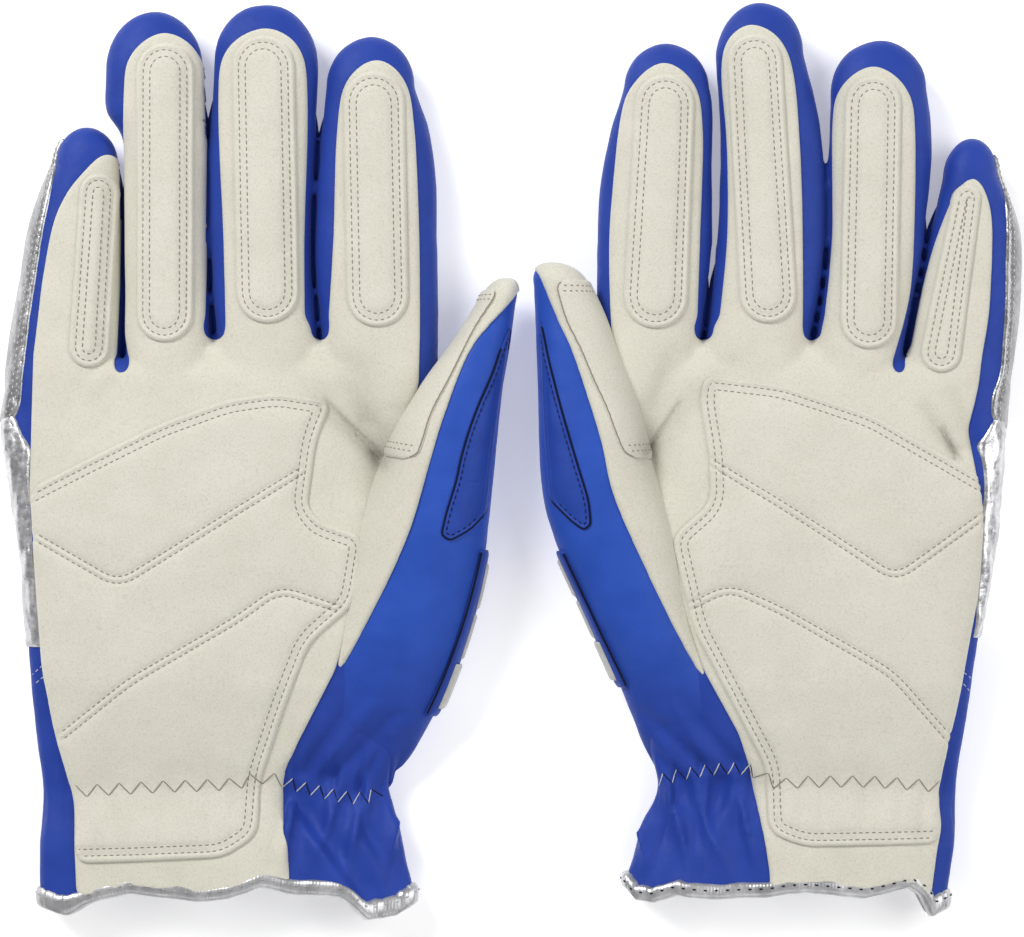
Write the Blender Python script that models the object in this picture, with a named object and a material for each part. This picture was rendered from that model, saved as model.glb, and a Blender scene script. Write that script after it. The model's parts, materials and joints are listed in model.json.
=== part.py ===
"""A pair of full-finger sailing gloves, lying on their backs with the palms up.

Each glove is a hand shell with an open cuff, and five digits. A digit is a hollow stall in two
lengths that bend about hinges at the crotch and at its middle joint. The frame is +Z up, with the
fingers towards +Y, the right-hand glove at -X and the left-hand glove at +X.
Lengths are in millimetres and are turned into metres where the meshes are made.
"""

import math
from collections import namedtuple

import bmesh
import bpy

MM = 0.001

# ---- driving dimensions, shared by both gloves ------------------------------------------------
GAP = 0.3  # clearance between pieces that touch on the real glove
SLOT = 0.3  # each side of a hinge line
HAND_HEIGHT = 20.0  # shell thickness as it lies, lightly filled
WALL = 1.6  # fabric with its lining
DIGIT_HEIGHT = 17.4
TIP_HEIGHT = 14.6
DIGIT_WALL = 1.5
SECTION_SIDES = 12
SECTION_POWER = 2.6  # roundness of a stall: 2 is an ellipse, larger is boxier
PATCH_CLEARANCE = 0.5
PATCH_THICKNESS = 0.8
HINGE_HEIGHT = DIGIT_HEIGHT + PATCH_CLEARANCE + PATCH_THICKNESS + GAP
PAD_ANGLES = (60, 75, 90, 105, 120)  # degrees round the stall, 90 is the palm side
GUARD_ANGLES = (140, 155, 170, 185, 200)  # the outer side of the little finger
PALM_PATCH_THICKNESS = 1.1
SIDE_FLANGE = 8.0  # how far the little-finger side panel folds over the palm and the back
CUFF_Y = -118.3  # where the shell ends and the cuff binding starts
BINDING_WIDTH = 3.9
BINDING_THICKNESS = 2.0
BINDING_CORNER = 7.0
ELASTIC_Y = (-91.0, -85.0)
ELASTIC_THICKNESS = 0.9
BADGE_LENGTH = 25.0
BADGE_BARS = 3
BADGE_BASE = 1.2
BADGE_RAISE = 1.1
BADGE_HEIGHTS = (5.0, 15.0)

# ---- colours: base colour, roughness, metallic ------------------------------------------------
SUEDE = ((0.66, 0.64, 0.55), 0.92, 0.0)
BLUE = ((0.035, 0.075, 0.40), 0.55, 0.0)
SILVER = ((0.60, 0.60, 0.63), 0.38, 0.55)
GREY_BINDING = ((0.42, 0.42, 0.43), 0.60, 0.0)
ELASTIC = ((0.05, 0.09, 0.42), 0.75, 0.0)
BADGE = ((0.45, 0.47, 0.52), 0.45, 0.0)

# A digit's hinge is at (u, v) in the finger frame: u across the hand, v along the fingers, which
# lean by `lean` degrees towards the thumb. widths are at the hinge, the middle joint and the start
# of the round tip, drift is how far the tip lies off the hinge's centre along u.
Digit = namedtuple("Digit", "name hinge_u hinge_v lean widths drift middle_reach tip_reach")
Glove = namedtuple(
    "Glove", "side offset digits little_edge thumb_edge thumb_seam palm_patch elastic_x"
)

RIGHT = Glove(
    side=1,
    offset=-75.77,
    digits=(
        Digit("little", -44.5, 22.5, 0.0, (27.6, 21.6, 16.6), 5.2, 31.0, 66.8),
        Digit("ring", -18.0, 30.6, 0.0, (24.0, 24.0, 23.6), 0.0, 43.0, 89.6),
        Digit("middle", 9.2, 31.5, 0.0, (26.8, 27.8, 26.0), 0.0, 45.0, 90.6),
        Digit("index", 40.2, 31.2, 0.0, (30.8, 29.5, 25.0), -2.6, 41.0, 82.0),
        Digit("thumb", 50.5, -21.0, 17.4, (34.6, 22.0, 14.0), 0.0, 36.0, 73.5),
    ),
    little_edge=((-50.5, CUFF_Y), (-52.2, -80.0), (-54.4, -40.0), (-57.6, -6.0)),
    thumb_edge=((49.7, CUFF_Y), (45.8, -100.0), (44.8, -87.0), (50.5, -75.0), (63.5, -47.0)),
    thumb_seam=((37.0, CUFF_Y), (34.0, -100.0), (32.0, -86.0), (31.0, -73.0), (30.0, -46.0)),
    palm_patch=(
        (-43.0, -2.5), (-18.0, 9.7), (-0.3, 16.1), (12.9, 18.0), (27.0, 14.5), (23.4, 5.4),
        (21.2, -12.1), (24.0, -16.5), (27.5, -17.5), (27.5, -39.7), (21.7, -48.8), (15.6, -64.4),
        (8.9, -84.5), (7.0, -101.4), (-1.3, -106.2), (-37.6, -107.9), (-41.4, -92.0),
    ),
    elastic_x=(10.5, 42.0),
)

LEFT = Glove(
    side=-1,
    offset=78.53,
    digits=(
        Digit("little", -39.7, 25.0, -4.5, (25.8, 24.0, 16.0), 1.5, 29.0, 62.5),
        Digit("ring", -11.5, 31.8, -4.5, (23.8, 25.0, 26.0), -0.8, 40.0, 80.0),
        Digit("middle", 15.4, 29.9, -4.5, (28.2, 27.2, 24.0), 2.4, 45.0, 91.7),
        Digit("index", 43.8, 27.6, -4.5, (26.2, 25.0, 22.0), 0.0, 40.0, 80.0),
        Digit("thumb", 52.0, -22.0, 13.5, (31.6, 20.0, 14.0), 0.0, 38.0, 76.5),
    ),
    little_edge=((-38.1, CUFF_Y), (-41.4, -82.0), (-46.5, -50.0), (-51.0, -22.0)),
    thumb_edge=((50.8, CUFF_Y), (44.5, -98.0), (42.0, -85.0), (47.0, -70.0), (61.0, -43.0)),
    thumb_seam=((38.0, CUFF_Y), (33.0, -98.0), (31.0, -84.0), (31.0, -70.0), (32.0, -44.0)),
    palm_patch=(
        (-42.0, -5.0), (-24.0, 3.0), (1.5, 12.0), (26.0, 20.0), (30.5, 15.5), (29.5, 1.6),
        (28.0, -10.5), (28.0, -19.0), (29.0, -40.0), (22.0, -60.0), (8.0, -82.0),
        (4.0, -100.0), (-2.0, -103.5), (-33.0, -102.5), (-36.0, -85.0),
    ),
    elastic_x=(10.0, 40.0),
)

GLOVES = {"right": RIGHT, "left": LEFT}


# ---- plane geometry ---------------------------------------------------------------------------
def turned(u, v, lean):
    """A point of the finger frame in glove x and y."""
    angle = math.radians(lean)
    return (u * math.cos(angle) + v * math.sin(angle), -u * math.sin(angle) + v * math.cos(angle))


def digit_origin(digit):
    """The middle of a digit's first hinge. The thumb's is given in glove x and y."""
    if digit.name == "thumb":
        return digit.hinge_u, digit.hinge_v
    return turned(digit.hinge_u, digit.hinge_v, digit.lean)


def digit_point(digit, u, v, z):
    """A point given from the digit's first hinge, in the glove frame."""
    x, y = turned(u, v, digit.lean)
    origin_x, origin_y = digit_origin(digit)
    return (origin_x + x, origin_y + y, z)


def world(glove, point):
    """A point of the glove frame in the pair's frame, in metres."""
    x, y, z = point
    return ((glove.offset + glove.side * x) * MM, y * MM, z * MM)


def between(low, high, share):
    return low + (high - low) * share


# ---- a digit's outer and inner surface --------------------------------------------------------
def dome_radius(digit):
    return 0.46 * digit.widths[2]


def section(digit, v, inset):
    """Centre, half width, half height and centre height of the stall at v, `inset` inside it."""
    dome = dome_radius(digit)
    dome_start = digit.tip_reach - dome
    base, middle, tip = digit.widths
    if v <= digit.middle_reach:
        width = between(base, middle, v / digit.middle_reach)
    else:
        run = (v - digit.middle_reach) / (dome_start - digit.middle_reach)
        width = between(middle, tip, min(run, 1.0))
    along = min(v / dome_start, 1.0)
    height = between(DIGIT_HEIGHT, TIP_HEIGHT, along)
    half_width = width / 2 - inset
    half_height = height / 2 - inset
    if v > dome_start:
        share = (v - dome_start) / (dome - inset)
        shrink = math.sqrt(max(1.0 - share * share, 0.0))
        half_width *= shrink
        half_height *= shrink**0.8
    return digit.drift * along, half_width, half_height, height / 2


def round_point(digit, v, inset, degrees):
    centre, half_width, half_height, centre_height = section(digit, v, inset)
    angle = math.radians(degrees)
    cosine, sine = math.cos(angle), math.sin(angle)
    power = 2 / SECTION_POWER
    u = centre + half_width * math.copysign(abs(cosine) ** power, cosine)
    z = centre_height + half_height * math.copysign(abs(sine) ** power, sine)
    return digit_point(digit, u, v, z)


def stall_ring(digit, v, inset):
    step = 360 / SECTION_SIDES
    return [round_point(digit, v, inset, step * k) for k in range(SECTION_SIDES)]


def stall_base(digit):
    """The open tube between the two hinges: a closed run of rings, out along and back inside."""
    stops = (SLOT, digit.middle_reach / 2, digit.middle_reach - SLOT)
    outer = [stall_ring(digit, v, 0.0) for v in stops]
    inner = [stall_ring(digit, v, DIGIT_WALL) for v in reversed(stops)]
    return outer + inner


def stall_tip(digit):
    """The end of the stall, closed by a dome and open at its hinge."""
    dome = dome_radius(digit)
    dome_start = digit.tip_reach - dome
    straight = [digit.middle_reach + SLOT, dome_start]
    shares = (0.5, 0.82, 0.97)
    outer = [stall_ring(digit, v, 0.0) for v in straight + [dome_start + dome * s for s in shares]]
    hollow = dome - DIGIT_WALL
    inner = [
        stall_ring(digit, v, DIGIT_WALL) for v in straight + [dome_start + hollow * s for s in shares]
    ]
    return list(reversed(outer)) + inner


def band(digit, start, end, angles):
    """A layer that lies on the stall, over the given angles, from start to end."""
    rings = []
    for share in (0.0, 0.5, 1.0):
        v = between(start, end, share)
        outside = [
            round_point(digit, v, -PATCH_CLEARANCE - PATCH_THICKNESS, degrees) for degrees in angles
        ]
        inside = [round_point(digit, v, -PATCH_CLEARANCE, degrees) for degrees in reversed(angles)]
        rings.append(outside + inside)
    return rings


# ---- the hand shell ---------------------------------------------------------------------------
def hinge_end(digit, share, back=SLOT):
    """A point on the hand side of a digit's first hinge, share -1 to 1 across its width."""
    return digit_point(digit, share * digit.widths[0] / 2, -back, 0.0)[:2]


def little_side(glove):
    """The outer side's edge and fold line, from the cuff up to the little finger's hinge."""
    little = glove.digits[0]
    edge = list(glove.little_edge) + [hinge_end(little, -1.0)]
    fold_share = -1.0 + SIDE_FLANGE / (little.widths[0] / 2)
    fold = [(x + SIDE_FLANGE, y) for x, y in glove.little_edge] + [hinge_end(little, fold_share)]
    return edge, fold


def thumb_side(glove):
    """The thumb side's edge and its seam with the palm, from the cuff up to the thumb's hinge."""
    thumb = glove.digits[-1]
    edge = list(glove.thumb_edge) + [hinge_end(thumb, 1.0)]
    seam = list(glove.thumb_seam) + [hinge_end(thumb, -1.0)]
    return edge, seam


def channel(edge, fold):
    """A C-shaped shell: a wall along the edge that folds over to the fold line, above and below."""
    rings = []
    for (edge_x, edge_y), (fold_x, fold_y) in zip(edge, fold, strict=True):
        run = math.hypot(fold_x - edge_x, fold_y - edge_y)
        inner_x = between(edge_x, fold_x, WALL / run)
        inner_y = between(edge_y, fold_y, WALL / run)
        top, bottom = HAND_HEIGHT, 0.0
        rings.append([
            (edge_x, edge_y, bottom), (edge_x, edge_y, top), (fold_x, fold_y, top),
            (fold_x, fold_y, top - WALL), (inner_x, inner_y, top - WALL),
            (inner_x, inner_y, bottom + WALL), (fold_x, fold_y, bottom + WALL),
            (fold_x, fold_y, bottom),
        ])
    return rings


def web_corners(glove):
    """The shell's edge between the index finger and the thumb: outer and inner end points."""
    index, thumb = glove.digits[3], glove.digits[-1]
    inset = WALL / (index.widths[0] / 2)
    index_inner, index_outer = hinge_end(index, 0.94 - inset), hinge_end(index, 0.94)
    thumb_x, thumb_y = hinge_end(thumb, -1.0)
    thumb_outer = (thumb_x - 5 * GAP, thumb_y + 2.5 * GAP)
    thumb_inner = (thumb_outer[0] - WALL, thumb_outer[1] - GAP)
    return index_inner, index_outer, thumb_outer, thumb_inner


def panel_outline(glove):
    """The palm's and the back's outline, from the cuff up the little-finger side and down again."""
    fingers = glove.digits[:-1]
    _, fold = little_side(glove)
    outline = [(x + GAP, y) for x, y in fold[:-1]]
    outline.append((fold[-1][0] + GAP, fold[-1][1]))
    for near, far in zip(fingers[:-1], fingers[1:], strict=True):
        edge = near.hinge_u + near.widths[0] / 2
        other = far.hinge_u - far.widths[0] / 2
        for digit in (near, far):
            outline.append(turned((edge + other) / 2, digit.hinge_v - SLOT, digit.lean))
    outline += web_corners(glove)
    outline += [(x - GAP, y) for x, y in reversed(glove.thumb_seam)]
    return outline


def plate(outline, bottom, top):
    return [[(x, y, z) for x, y in outline] for z in (bottom, top)]


def binding_loop(glove, inset, y):
    """A rounded rectangle round the cuff, in a plane across the glove."""
    left = glove.little_edge[0][0] + inset
    right = glove.thumb_edge[0][0] - inset
    bottom, top = inset, HAND_HEIGHT - inset
    radius = BINDING_CORNER - inset
    corners = ((right, top, 0), (left, top, 90), (left, bottom, 180), (right, bottom, 270))
    loop = []
    for x, z, start in corners:
        centre_x = x - math.copysign(radius, x)
        centre_z = z - math.copysign(radius, z - HAND_HEIGHT / 2)
        for step in (0, 30, 60, 90):
            angle = math.radians(start + step)
            loop.append(
                (centre_x + radius * math.cos(angle), y, centre_z + radius * math.sin(angle))
            )
    return loop


def binding(glove):
    near = CUFF_Y - GAP
    far = near - BINDING_WIDTH
    return [
        binding_loop(glove, 0.0, near), binding_loop(glove, 0.0, far),
        binding_loop(glove, BINDING_THICKNESS, far), binding_loop(glove, BINDING_THICKNESS, near),
    ]


def badge(glove):
    """A raised-bar badge on the flat of the thumb side's wall, drawn as a comb and extruded."""
    (ax, ay), (bx, by) = glove.thumb_edge[3], glove.thumb_edge[4]
    run = math.hypot(bx - ax, by - ay)
    along_x, along_y = (bx - ax) / run, (by - ay) / run
    start = (run - BADGE_LENGTH) / 2
    pitch = BADGE_LENGTH / BADGE_BARS
    profile = [(0.0, 0.0)]
    for bar in range(BADGE_BARS):
        low, high = (bar + 0.12) * pitch, (bar + 0.88) * pitch
        raised = BADGE_BASE + BADGE_RAISE
        profile += [(low, BADGE_BASE), (low + 0.6, raised), (high - 0.6, raised), (high, BADGE_BASE)]
    profile.insert(1, (0.0, BADGE_BASE))
    profile += [(BADGE_LENGTH, BADGE_BASE), (BADGE_LENGTH, 0.0)]
    outline = []
    for s, n in profile:
        out = n + GAP
        outline.append((
            ax + along_x * (start + s) + along_y * out,
            ay + along_y * (start + s) - along_x * out,
        ))
    return plate(outline, *BADGE_HEIGHTS)


# ---- meshes and objects -----------------------------------------------------------------------
def clear_scene():
    for item in list(bpy.data.objects):
        bpy.data.objects.remove(item, do_unlink=True)


def finished(name, mesh_builder, glove, pivot, parent, look):
    """Makes the object from a filled bmesh, with its origin on its joint's axis."""
    bmesh.ops.recalc_face_normals(mesh_builder, faces=mesh_builder.faces)
    mesh = bpy.data.meshes.new(name)
    mesh_builder.to_mesh(mesh)
    mesh_builder.free()
    mesh.shade_smooth()
    mesh.set_sharp_from_angle(angle=math.radians(38))
    colour, roughness, metallic = look
    material = bpy.data.materials.new(name)
    material.use_nodes = True
    shader = material.node_tree.nodes["Principled BSDF"]
    shader.inputs["Base Color"].default_value = (*colour, 1.0)
    shader.inputs["Roughness"].default_value = roughness
    shader.inputs["Metallic"].default_value = metallic
    material.diffuse_color = (*colour, 1.0)
    mesh.materials.append(material)
    item = bpy.data.objects.new(name, mesh)
    bpy.context.scene.collection.objects.link(item)
    item.parent = parent
    return item


def corner(mesh_builder, glove, pivot, point):
    x, y, z = world(glove, point)
    return mesh_builder.verts.new((x - pivot[0], y - pivot[1], z - pivot[2]))


def lofted(name, rings, glove, pivot, parent, look, cyclic=False):
    """A closed solid through rings of equal length. A cyclic run of rings needs no caps."""
    built = bmesh.new()
    loops = [[corner(built, glove, pivot, point) for point in ring] for ring in rings]
    runs = list(zip(loops[:-1], loops[1:], strict=True))
    if cyclic:
        runs.append((loops[-1], loops[0]))
    else:
        built.faces.new(loops[0])
        built.faces.new(loops[-1])
    count = len(loops[0])
    for near, far in runs:
        for k in range(count):
            built.faces.new((near[k], near[(k + 1) % count], far[(k + 1) % count], far[k]))
    return finished(name, built, glove, pivot, parent, look)


def back_with_web(name, glove, pivot, parent, look):
    """The back panel, with the wall that closes the shell between index finger and thumb."""
    outline = panel_outline(glove)
    web = [outline.index(point) for point in web_corners(glove)]
    wall_top = HAND_HEIGHT - WALL - GAP
    built = bmesh.new()
    low = [corner(built, glove, pivot, (x, y, 0.0)) for x, y in outline]
    high = [corner(built, glove, pivot, (x, y, WALL)) for x, y in outline]
    crest = [corner(built, glove, pivot, (*outline[k], wall_top)) for k in web]
    built.faces.new(low)
    built.faces.new([v for k, v in enumerate(high) if k not in web[1:3]])
    built.faces.new(crest)
    for k in range(len(outline)):
        after = (k + 1) % len(outline)
        built.faces.new((low[k], low[after], high[after], high[k]))
    foot = [high[k] for k in web]
    for k in range(4):
        after = (k + 1) % 4
        built.faces.new((foot[k], foot[after], crest[after], crest[k]))
    return finished(name, built, glove, pivot, parent, look)


def hinge_empty(name, glove, point, parent):
    """An empty on a joint's axis, which the pieces of the moving body hang from."""
    place = world(glove, point)
    empty = bpy.data.objects.new(name, None)
    empty.empty_display_size = 0.01
    bpy.context.scene.collection.objects.link(empty)
    if parent is not None:
        empty.parent = parent[0]
        start = parent[1]
        empty.location = tuple(a - b for a, b in zip(place, start, strict=True))
    else:
        empty.location = place
    return empty, place


def make_hand(side, glove):
    hand, pivot = hinge_empty(f"{side}_hand_origin", glove, (-glove.side * glove.offset, 0, 0), None)
    common = (glove, pivot, hand)
    outline = panel_outline(glove)
    lofted(
        f"{side}_palm_panel", plate(outline, HAND_HEIGHT - WALL, HAND_HEIGHT), *common, SUEDE
    )
    back_with_web(f"{side}_back_panel", *common, BLUE)
    lofted(f"{side}_outer_side_panel", channel(*little_side(glove)), *common, SILVER)
    lofted(f"{side}_thumb_gusset", channel(*thumb_side(glove)), *common, BLUE)
    face = HAND_HEIGHT + GAP
    patch = plate(glove.palm_patch, face, face + PALM_PATCH_THICKNESS)
    lofted(f"{side}_palm_reinforcement", patch, *common, SUEDE)
    (left, right), (low, high) = glove.elastic_x, ELASTIC_Y
    strip = [(left, low), (right, low), (right, high), (left, high)]
    strip_rings = plate(strip, face, face + ELASTIC_THICKNESS)
    lofted(f"{side}_wrist_elastic", strip_rings, *common, ELASTIC)
    lofted(f"{side}_cuff_binding", binding(glove), *common, GREY_BINDING, cyclic=True)
    lofted(f"{side}_knuckle_badge", badge(glove), *common, BADGE)
    return hand, pivot


def make_digit(side, glove, digit, hand):
    base, base_pivot = hinge_empty(
        f"{side}_{digit.name}_base_hinge", glove, digit_point(digit, 0.0, 0.0, HINGE_HEIGHT), hand
    )
    tip_place = digit_point(digit, 0.0, digit.middle_reach, HINGE_HEIGHT)
    tip, tip_pivot = hinge_empty(
        f"{side}_{digit.name}_tip_hinge", glove, tip_place, (base, base_pivot)
    )
    base_args = (glove, base_pivot, base)
    tip_args = (glove, tip_pivot, tip)
    base_name, tip_name = f"{side}_{digit.name}_base", f"{side}_{digit.name}_tip"
    lofted(base_name, stall_base(digit), *base_args, BLUE, cyclic=True)
    lofted(tip_name, stall_tip(digit), *tip_args, BLUE)
    patch_end = digit.tip_reach - dome_radius(digit)
    base_run = (3.0, digit.middle_reach - SLOT)
    tip_run = (digit.middle_reach + SLOT, patch_end)
    lofted(f"{base_name}_patch", band(digit, *base_run, PAD_ANGLES), *base_args, SUEDE)
    lofted(f"{tip_name}_patch", band(digit, *tip_run, PAD_ANGLES), *tip_args, SUEDE)
    if digit.name == "little":
        lofted(f"{base_name}_guard", band(digit, *base_run, GUARD_ANGLES), *base_args, SILVER)
        lofted(f"{tip_name}_guard", band(digit, *tip_run, GUARD_ANGLES), *tip_args, SILVER)


def main():
    clear_scene()
    for side, glove in GLOVES.items():
        hand = make_hand(side, glove)
        for digit in glove.digits:
            make_digit(side, glove, digit, hand)


main()
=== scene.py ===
"""The looks of a pair of sailing gloves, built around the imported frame.

Shapes are worked out in each glove's own plan, in millimetres: x towards the thumb, y towards the
fingertips, z up out of the palm. `Glove.to_world` puts them in the frame, and mirrors the left one.
"""

import json
import math

import bmesh
import bpy
import numpy as np
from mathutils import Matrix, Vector, noise
from mathutils.bvhtree import BVHTree
from mathutils.geometry import delaunay_2d_cdt
from mathutils.kdtree import KDTree


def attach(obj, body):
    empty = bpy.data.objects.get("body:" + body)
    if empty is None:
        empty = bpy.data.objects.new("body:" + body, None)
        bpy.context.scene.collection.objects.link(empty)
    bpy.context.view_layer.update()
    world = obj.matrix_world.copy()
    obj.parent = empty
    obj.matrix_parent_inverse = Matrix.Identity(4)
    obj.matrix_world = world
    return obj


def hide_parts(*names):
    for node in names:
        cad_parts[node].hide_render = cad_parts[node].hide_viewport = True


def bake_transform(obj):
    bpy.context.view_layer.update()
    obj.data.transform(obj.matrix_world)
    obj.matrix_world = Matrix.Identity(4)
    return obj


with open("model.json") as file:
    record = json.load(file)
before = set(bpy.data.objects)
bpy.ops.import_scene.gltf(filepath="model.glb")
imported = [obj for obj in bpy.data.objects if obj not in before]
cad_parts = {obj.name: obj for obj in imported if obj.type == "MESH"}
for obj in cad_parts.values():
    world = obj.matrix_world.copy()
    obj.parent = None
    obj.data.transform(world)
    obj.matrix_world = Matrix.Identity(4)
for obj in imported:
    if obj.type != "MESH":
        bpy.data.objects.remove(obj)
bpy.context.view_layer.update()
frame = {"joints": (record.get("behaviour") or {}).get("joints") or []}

MM = 0.001
FINGERS = ("little", "ring", "middle", "index")

# ---- sizes in millimetres ---------------------------------------------------------------------
SAMPLE = 0.8  # usual spacing of points along an outline
DENSE = 0.2  # spacing where distances to a line are measured
VOXEL = 0.8  # grain of the fused hand skin
LINING = 1.2  # wall of the skin
SUEDE_LIFT = 0.9  # suede over the skin
PATCH_LIFT = 0.9  # second layer over the suede
FINGER_TOP = (17.4, 15.0)  # height over the table, at the crotch and at the tip
ROW_FIRST = 1.75  # first stitch row from a cut edge
ROW_GAP = 1.8  # between twin rows
TWIN_ROWS = (ROW_FIRST, ROW_FIRST + ROW_GAP)
STITCH_PITCH = 1.72
STITCH_LENGTH = 1.3
STITCH_RADIUS = 0.155
STITCH_SINK = 0.32  # how deep a row pulls the layer in
FOLD_SINK = 0.45  # depth of a sharp fold line
PUFF_REACH = 2.5  # how far from a row the layer has risen most of its puff
# where a draped layer gets finer points, across a sewn channel and across a fold line
CHANNEL_STRIPS = (-2.2, -1.4, -0.85, -0.4, 0, 0.4, 0.85, 1.4, 2.2)
FOLD_STRIPS = (-1.7, -1.1, -0.7, -0.35, 0, 0.35, 0.7, 1.1, 1.7)
SEAM_RADIUS = 1.45  # of the rolled seams between fingers
TUCK = 0.4  # how far a wrapped layer's edges reach into what they lie on
# how square each tube's section is: 2 is an ellipse
FINGER_POWER, THUMB_POWER, WEB_POWER, HAND_POWER = 2.35, 2.2, 2.4, 3.4
# the thumb's half height and its middle's height over the table, along its run from wrist to tip
THUMB_RUN = (0, 0.10, 0.19, 0.35, 0.55, 0.75, 1)
THUMB_HALF = (3.4, 4.4, 7.6, 10.6, 12.2, 11.6, 8.6)
THUMB_MIDDLE = (5.2, 6.2, 8.2, 11.2, 13.6, 14.0, 13.0)
# the hand's thickness at y, from the cuff to the crotches
HAND_AT = (-121, -104, -88, -60, -20, 10, 27)
HAND_THICK = (14.5, 14.6, 13.2, 17.6, 19.2, 18.6, 17.2)
WRIST_Y = -88.0  # the gathered elastic
CUFF_Y = -114.0  # mean line of the cuff's front edge
# a crotch notch: across in half widths, and up
CROTCH_SHAPE = ((-1.08, 3.6), (-0.95, 1.2), (-0.45, 0.0), (0.45, 0.0), (0.95, 1.2), (1.08, 3.6))
ZIGZAG_PITCH = 2.95  # one leg on the suede
GATHERED_PITCH = 1.9  # and on the blue fabric, which the elastic gathers more
ZIGZAG_SWING = 1.65  # to either side of its line
THREAD = 0.17  # radius of a continuous thread
SIDE_LIFT = 0.75  # of the silver pieces at their front edge
BINDING_WIDTH = 4.3
BINDING_THICK = 3.4
BINDING_SIDES = 14  # points round the tape
# each bar's start and end along the badge, its front edge in degrees and its height
BADGE_BARS = ((0.05, 0.33, 20.0, 2.0), (0.355, 0.63, 9.0, 1.75), (0.655, 0.93, 7.0, 1.75))


# ---- curves in the plane ----------------------------------------------------------------------
def smooth_line(points, step=SAMPLE):
    """A Catmull-Rom curve through the points, sampled evenly at about `step`."""
    pts = np.asarray(points, float)
    before = np.vstack([pts[:1], pts[:-1]])
    after = np.vstack([pts[1:], pts[-1:]])
    far = np.vstack([pts[2:], pts[-1:], pts[-1:]])
    fine = []
    for k in range(len(pts) - 1):
        t = np.linspace(0, 1, 24, endpoint=False)[:, None]
        a, b, c, d = before[k], pts[k], after[k], far[k]
        fine.append(
            0.5 * (2 * b + (c - a) * t + (2 * a - 5 * b + 4 * c - d) * t**2
                   + (3 * b - a - 3 * c + d) * t**3)
        )
    return resampled(np.vstack([*fine, pts[-1:]]), step)


def resampled(line, step, closed=False):
    """The same polyline with even spacing."""
    run = np.r_[0, np.cumsum(np.linalg.norm(np.diff(line, axis=0), axis=1))]
    count = max(int(round(run[-1] / step)), 3)
    at = np.linspace(0, run[-1], count + 1)
    out = np.column_stack([np.interp(at, run, line[:, k]) for k in range(line.shape[1])])
    return out[:-1] if closed else out


def closed_line(loop, step=SAMPLE):
    """A closed loop with even spacing, its first point not repeated at the end."""
    return resampled(np.vstack([loop, loop[:1]]), step, True)


def dense_outline(loop):
    """A closed loop sampled finely, to measure distances from."""
    return resampled(np.vstack([loop, loop[:1]]), DENSE)


def corner_arc(last, corner, following, radius, share):
    """An arc that cuts a corner and takes at most `share` of either side."""
    to_last, to_next = last - corner, following - corner
    far, near = np.linalg.norm(to_last), np.linalg.norm(to_next)
    reach = min(radius, share * far, share * near)
    start = corner + to_last / far * reach
    end = corner + to_next / near * reach
    t = np.linspace(0, 1, 9)[:, None]
    return (1 - t) ** 2 * start + 2 * t * (1 - t) * corner + t**2 * end


def rounded(points, radius, step=SAMPLE):
    """A closed polygon whose corners are arcs of about the radius."""
    pts = np.asarray(points, float)
    count = len(pts)
    arcs = [corner_arc(pts[k - 1], pts[k], pts[(k + 1) % count], radius, 0.45) for k in range(count)]
    return closed_line(np.vstack(arcs), step)


def rounded_path(points, radius):
    """An open line with its corners rounded."""
    pts = np.asarray(points, float)
    arcs = [corner_arc(pts[k - 1], pts[k], pts[k + 1], radius, 0.4) for k in range(1, len(pts) - 1)]
    return resampled(np.vstack([pts[:1], *arcs, pts[-1:]]), SAMPLE)


def beside(line, distance):
    """An open line moved sideways, to its left as it runs."""
    tangent = np.gradient(line, axis=0)
    normal = np.column_stack([-tangent[:, 1], tangent[:, 0]])
    return line + normal / np.linalg.norm(normal, axis=1)[:, None] * distance


def inward_normals(loop):
    """Unit normals of a closed loop, pointing to its inside."""
    tangent = np.roll(loop, -1, 0) - np.roll(loop, 1, 0)
    tangent /= np.linalg.norm(tangent, axis=1)[:, None] + 1e-12
    area = 0.5 * np.sum(loop[:, 0] * np.roll(loop[:, 1], -1) - np.roll(loop[:, 0], -1) * loop[:, 1])
    return np.column_stack([-tangent[:, 1], tangent[:, 0]]) * math.copysign(1, area)


def inside(loop, points):
    """True for each point within the closed loop."""
    x, y = points[:, 0][:, None], points[:, 1][:, None]
    ax, ay = loop[:, 0][None], loop[:, 1][None]
    bx, by = np.roll(loop[:, 0], -1)[None], np.roll(loop[:, 1], -1)[None]
    crosses = (ay > y) != (by > y)
    at = ax + (y - ay) * (bx - ax) / (by - ay + 1e-12)
    return (np.sum(crosses & (x < at), axis=1) % 2) == 1


def distance_to(points, line):
    """Distance of each point to the nearest sample of a dense line."""
    tree = KDTree(len(line))
    for k, p in enumerate(line):
        tree.insert((p[0], p[1], 0), k)
    tree.balance()
    return np.array([tree.find((p[0], p[1], 0))[2] for p in points])


def offset_loop(loop, distance):
    """Points of a closed loop moved inwards, without those that a tight corner folds back."""
    moved = loop + inward_normals(loop) * distance
    keep = distance_to(moved, loop) > 0.93 * distance
    return moved[keep]


def ease(low, high, value):
    t = np.clip((value - low) / (high - low), 0, 1)
    return t * t * (3 - 2 * t)


def hill(value, width):
    return np.exp(-((value / width) ** 2))


def wrinkle(points, size, seed):
    """Smooth noise, -1 to 1, over an array of points; size is one fold in millimetres."""
    shift = Vector((seed * 7.1, seed * 3.7, seed * 1.9))
    return np.array([noise.noise(Vector(p) / size + shift) for p in points])


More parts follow.
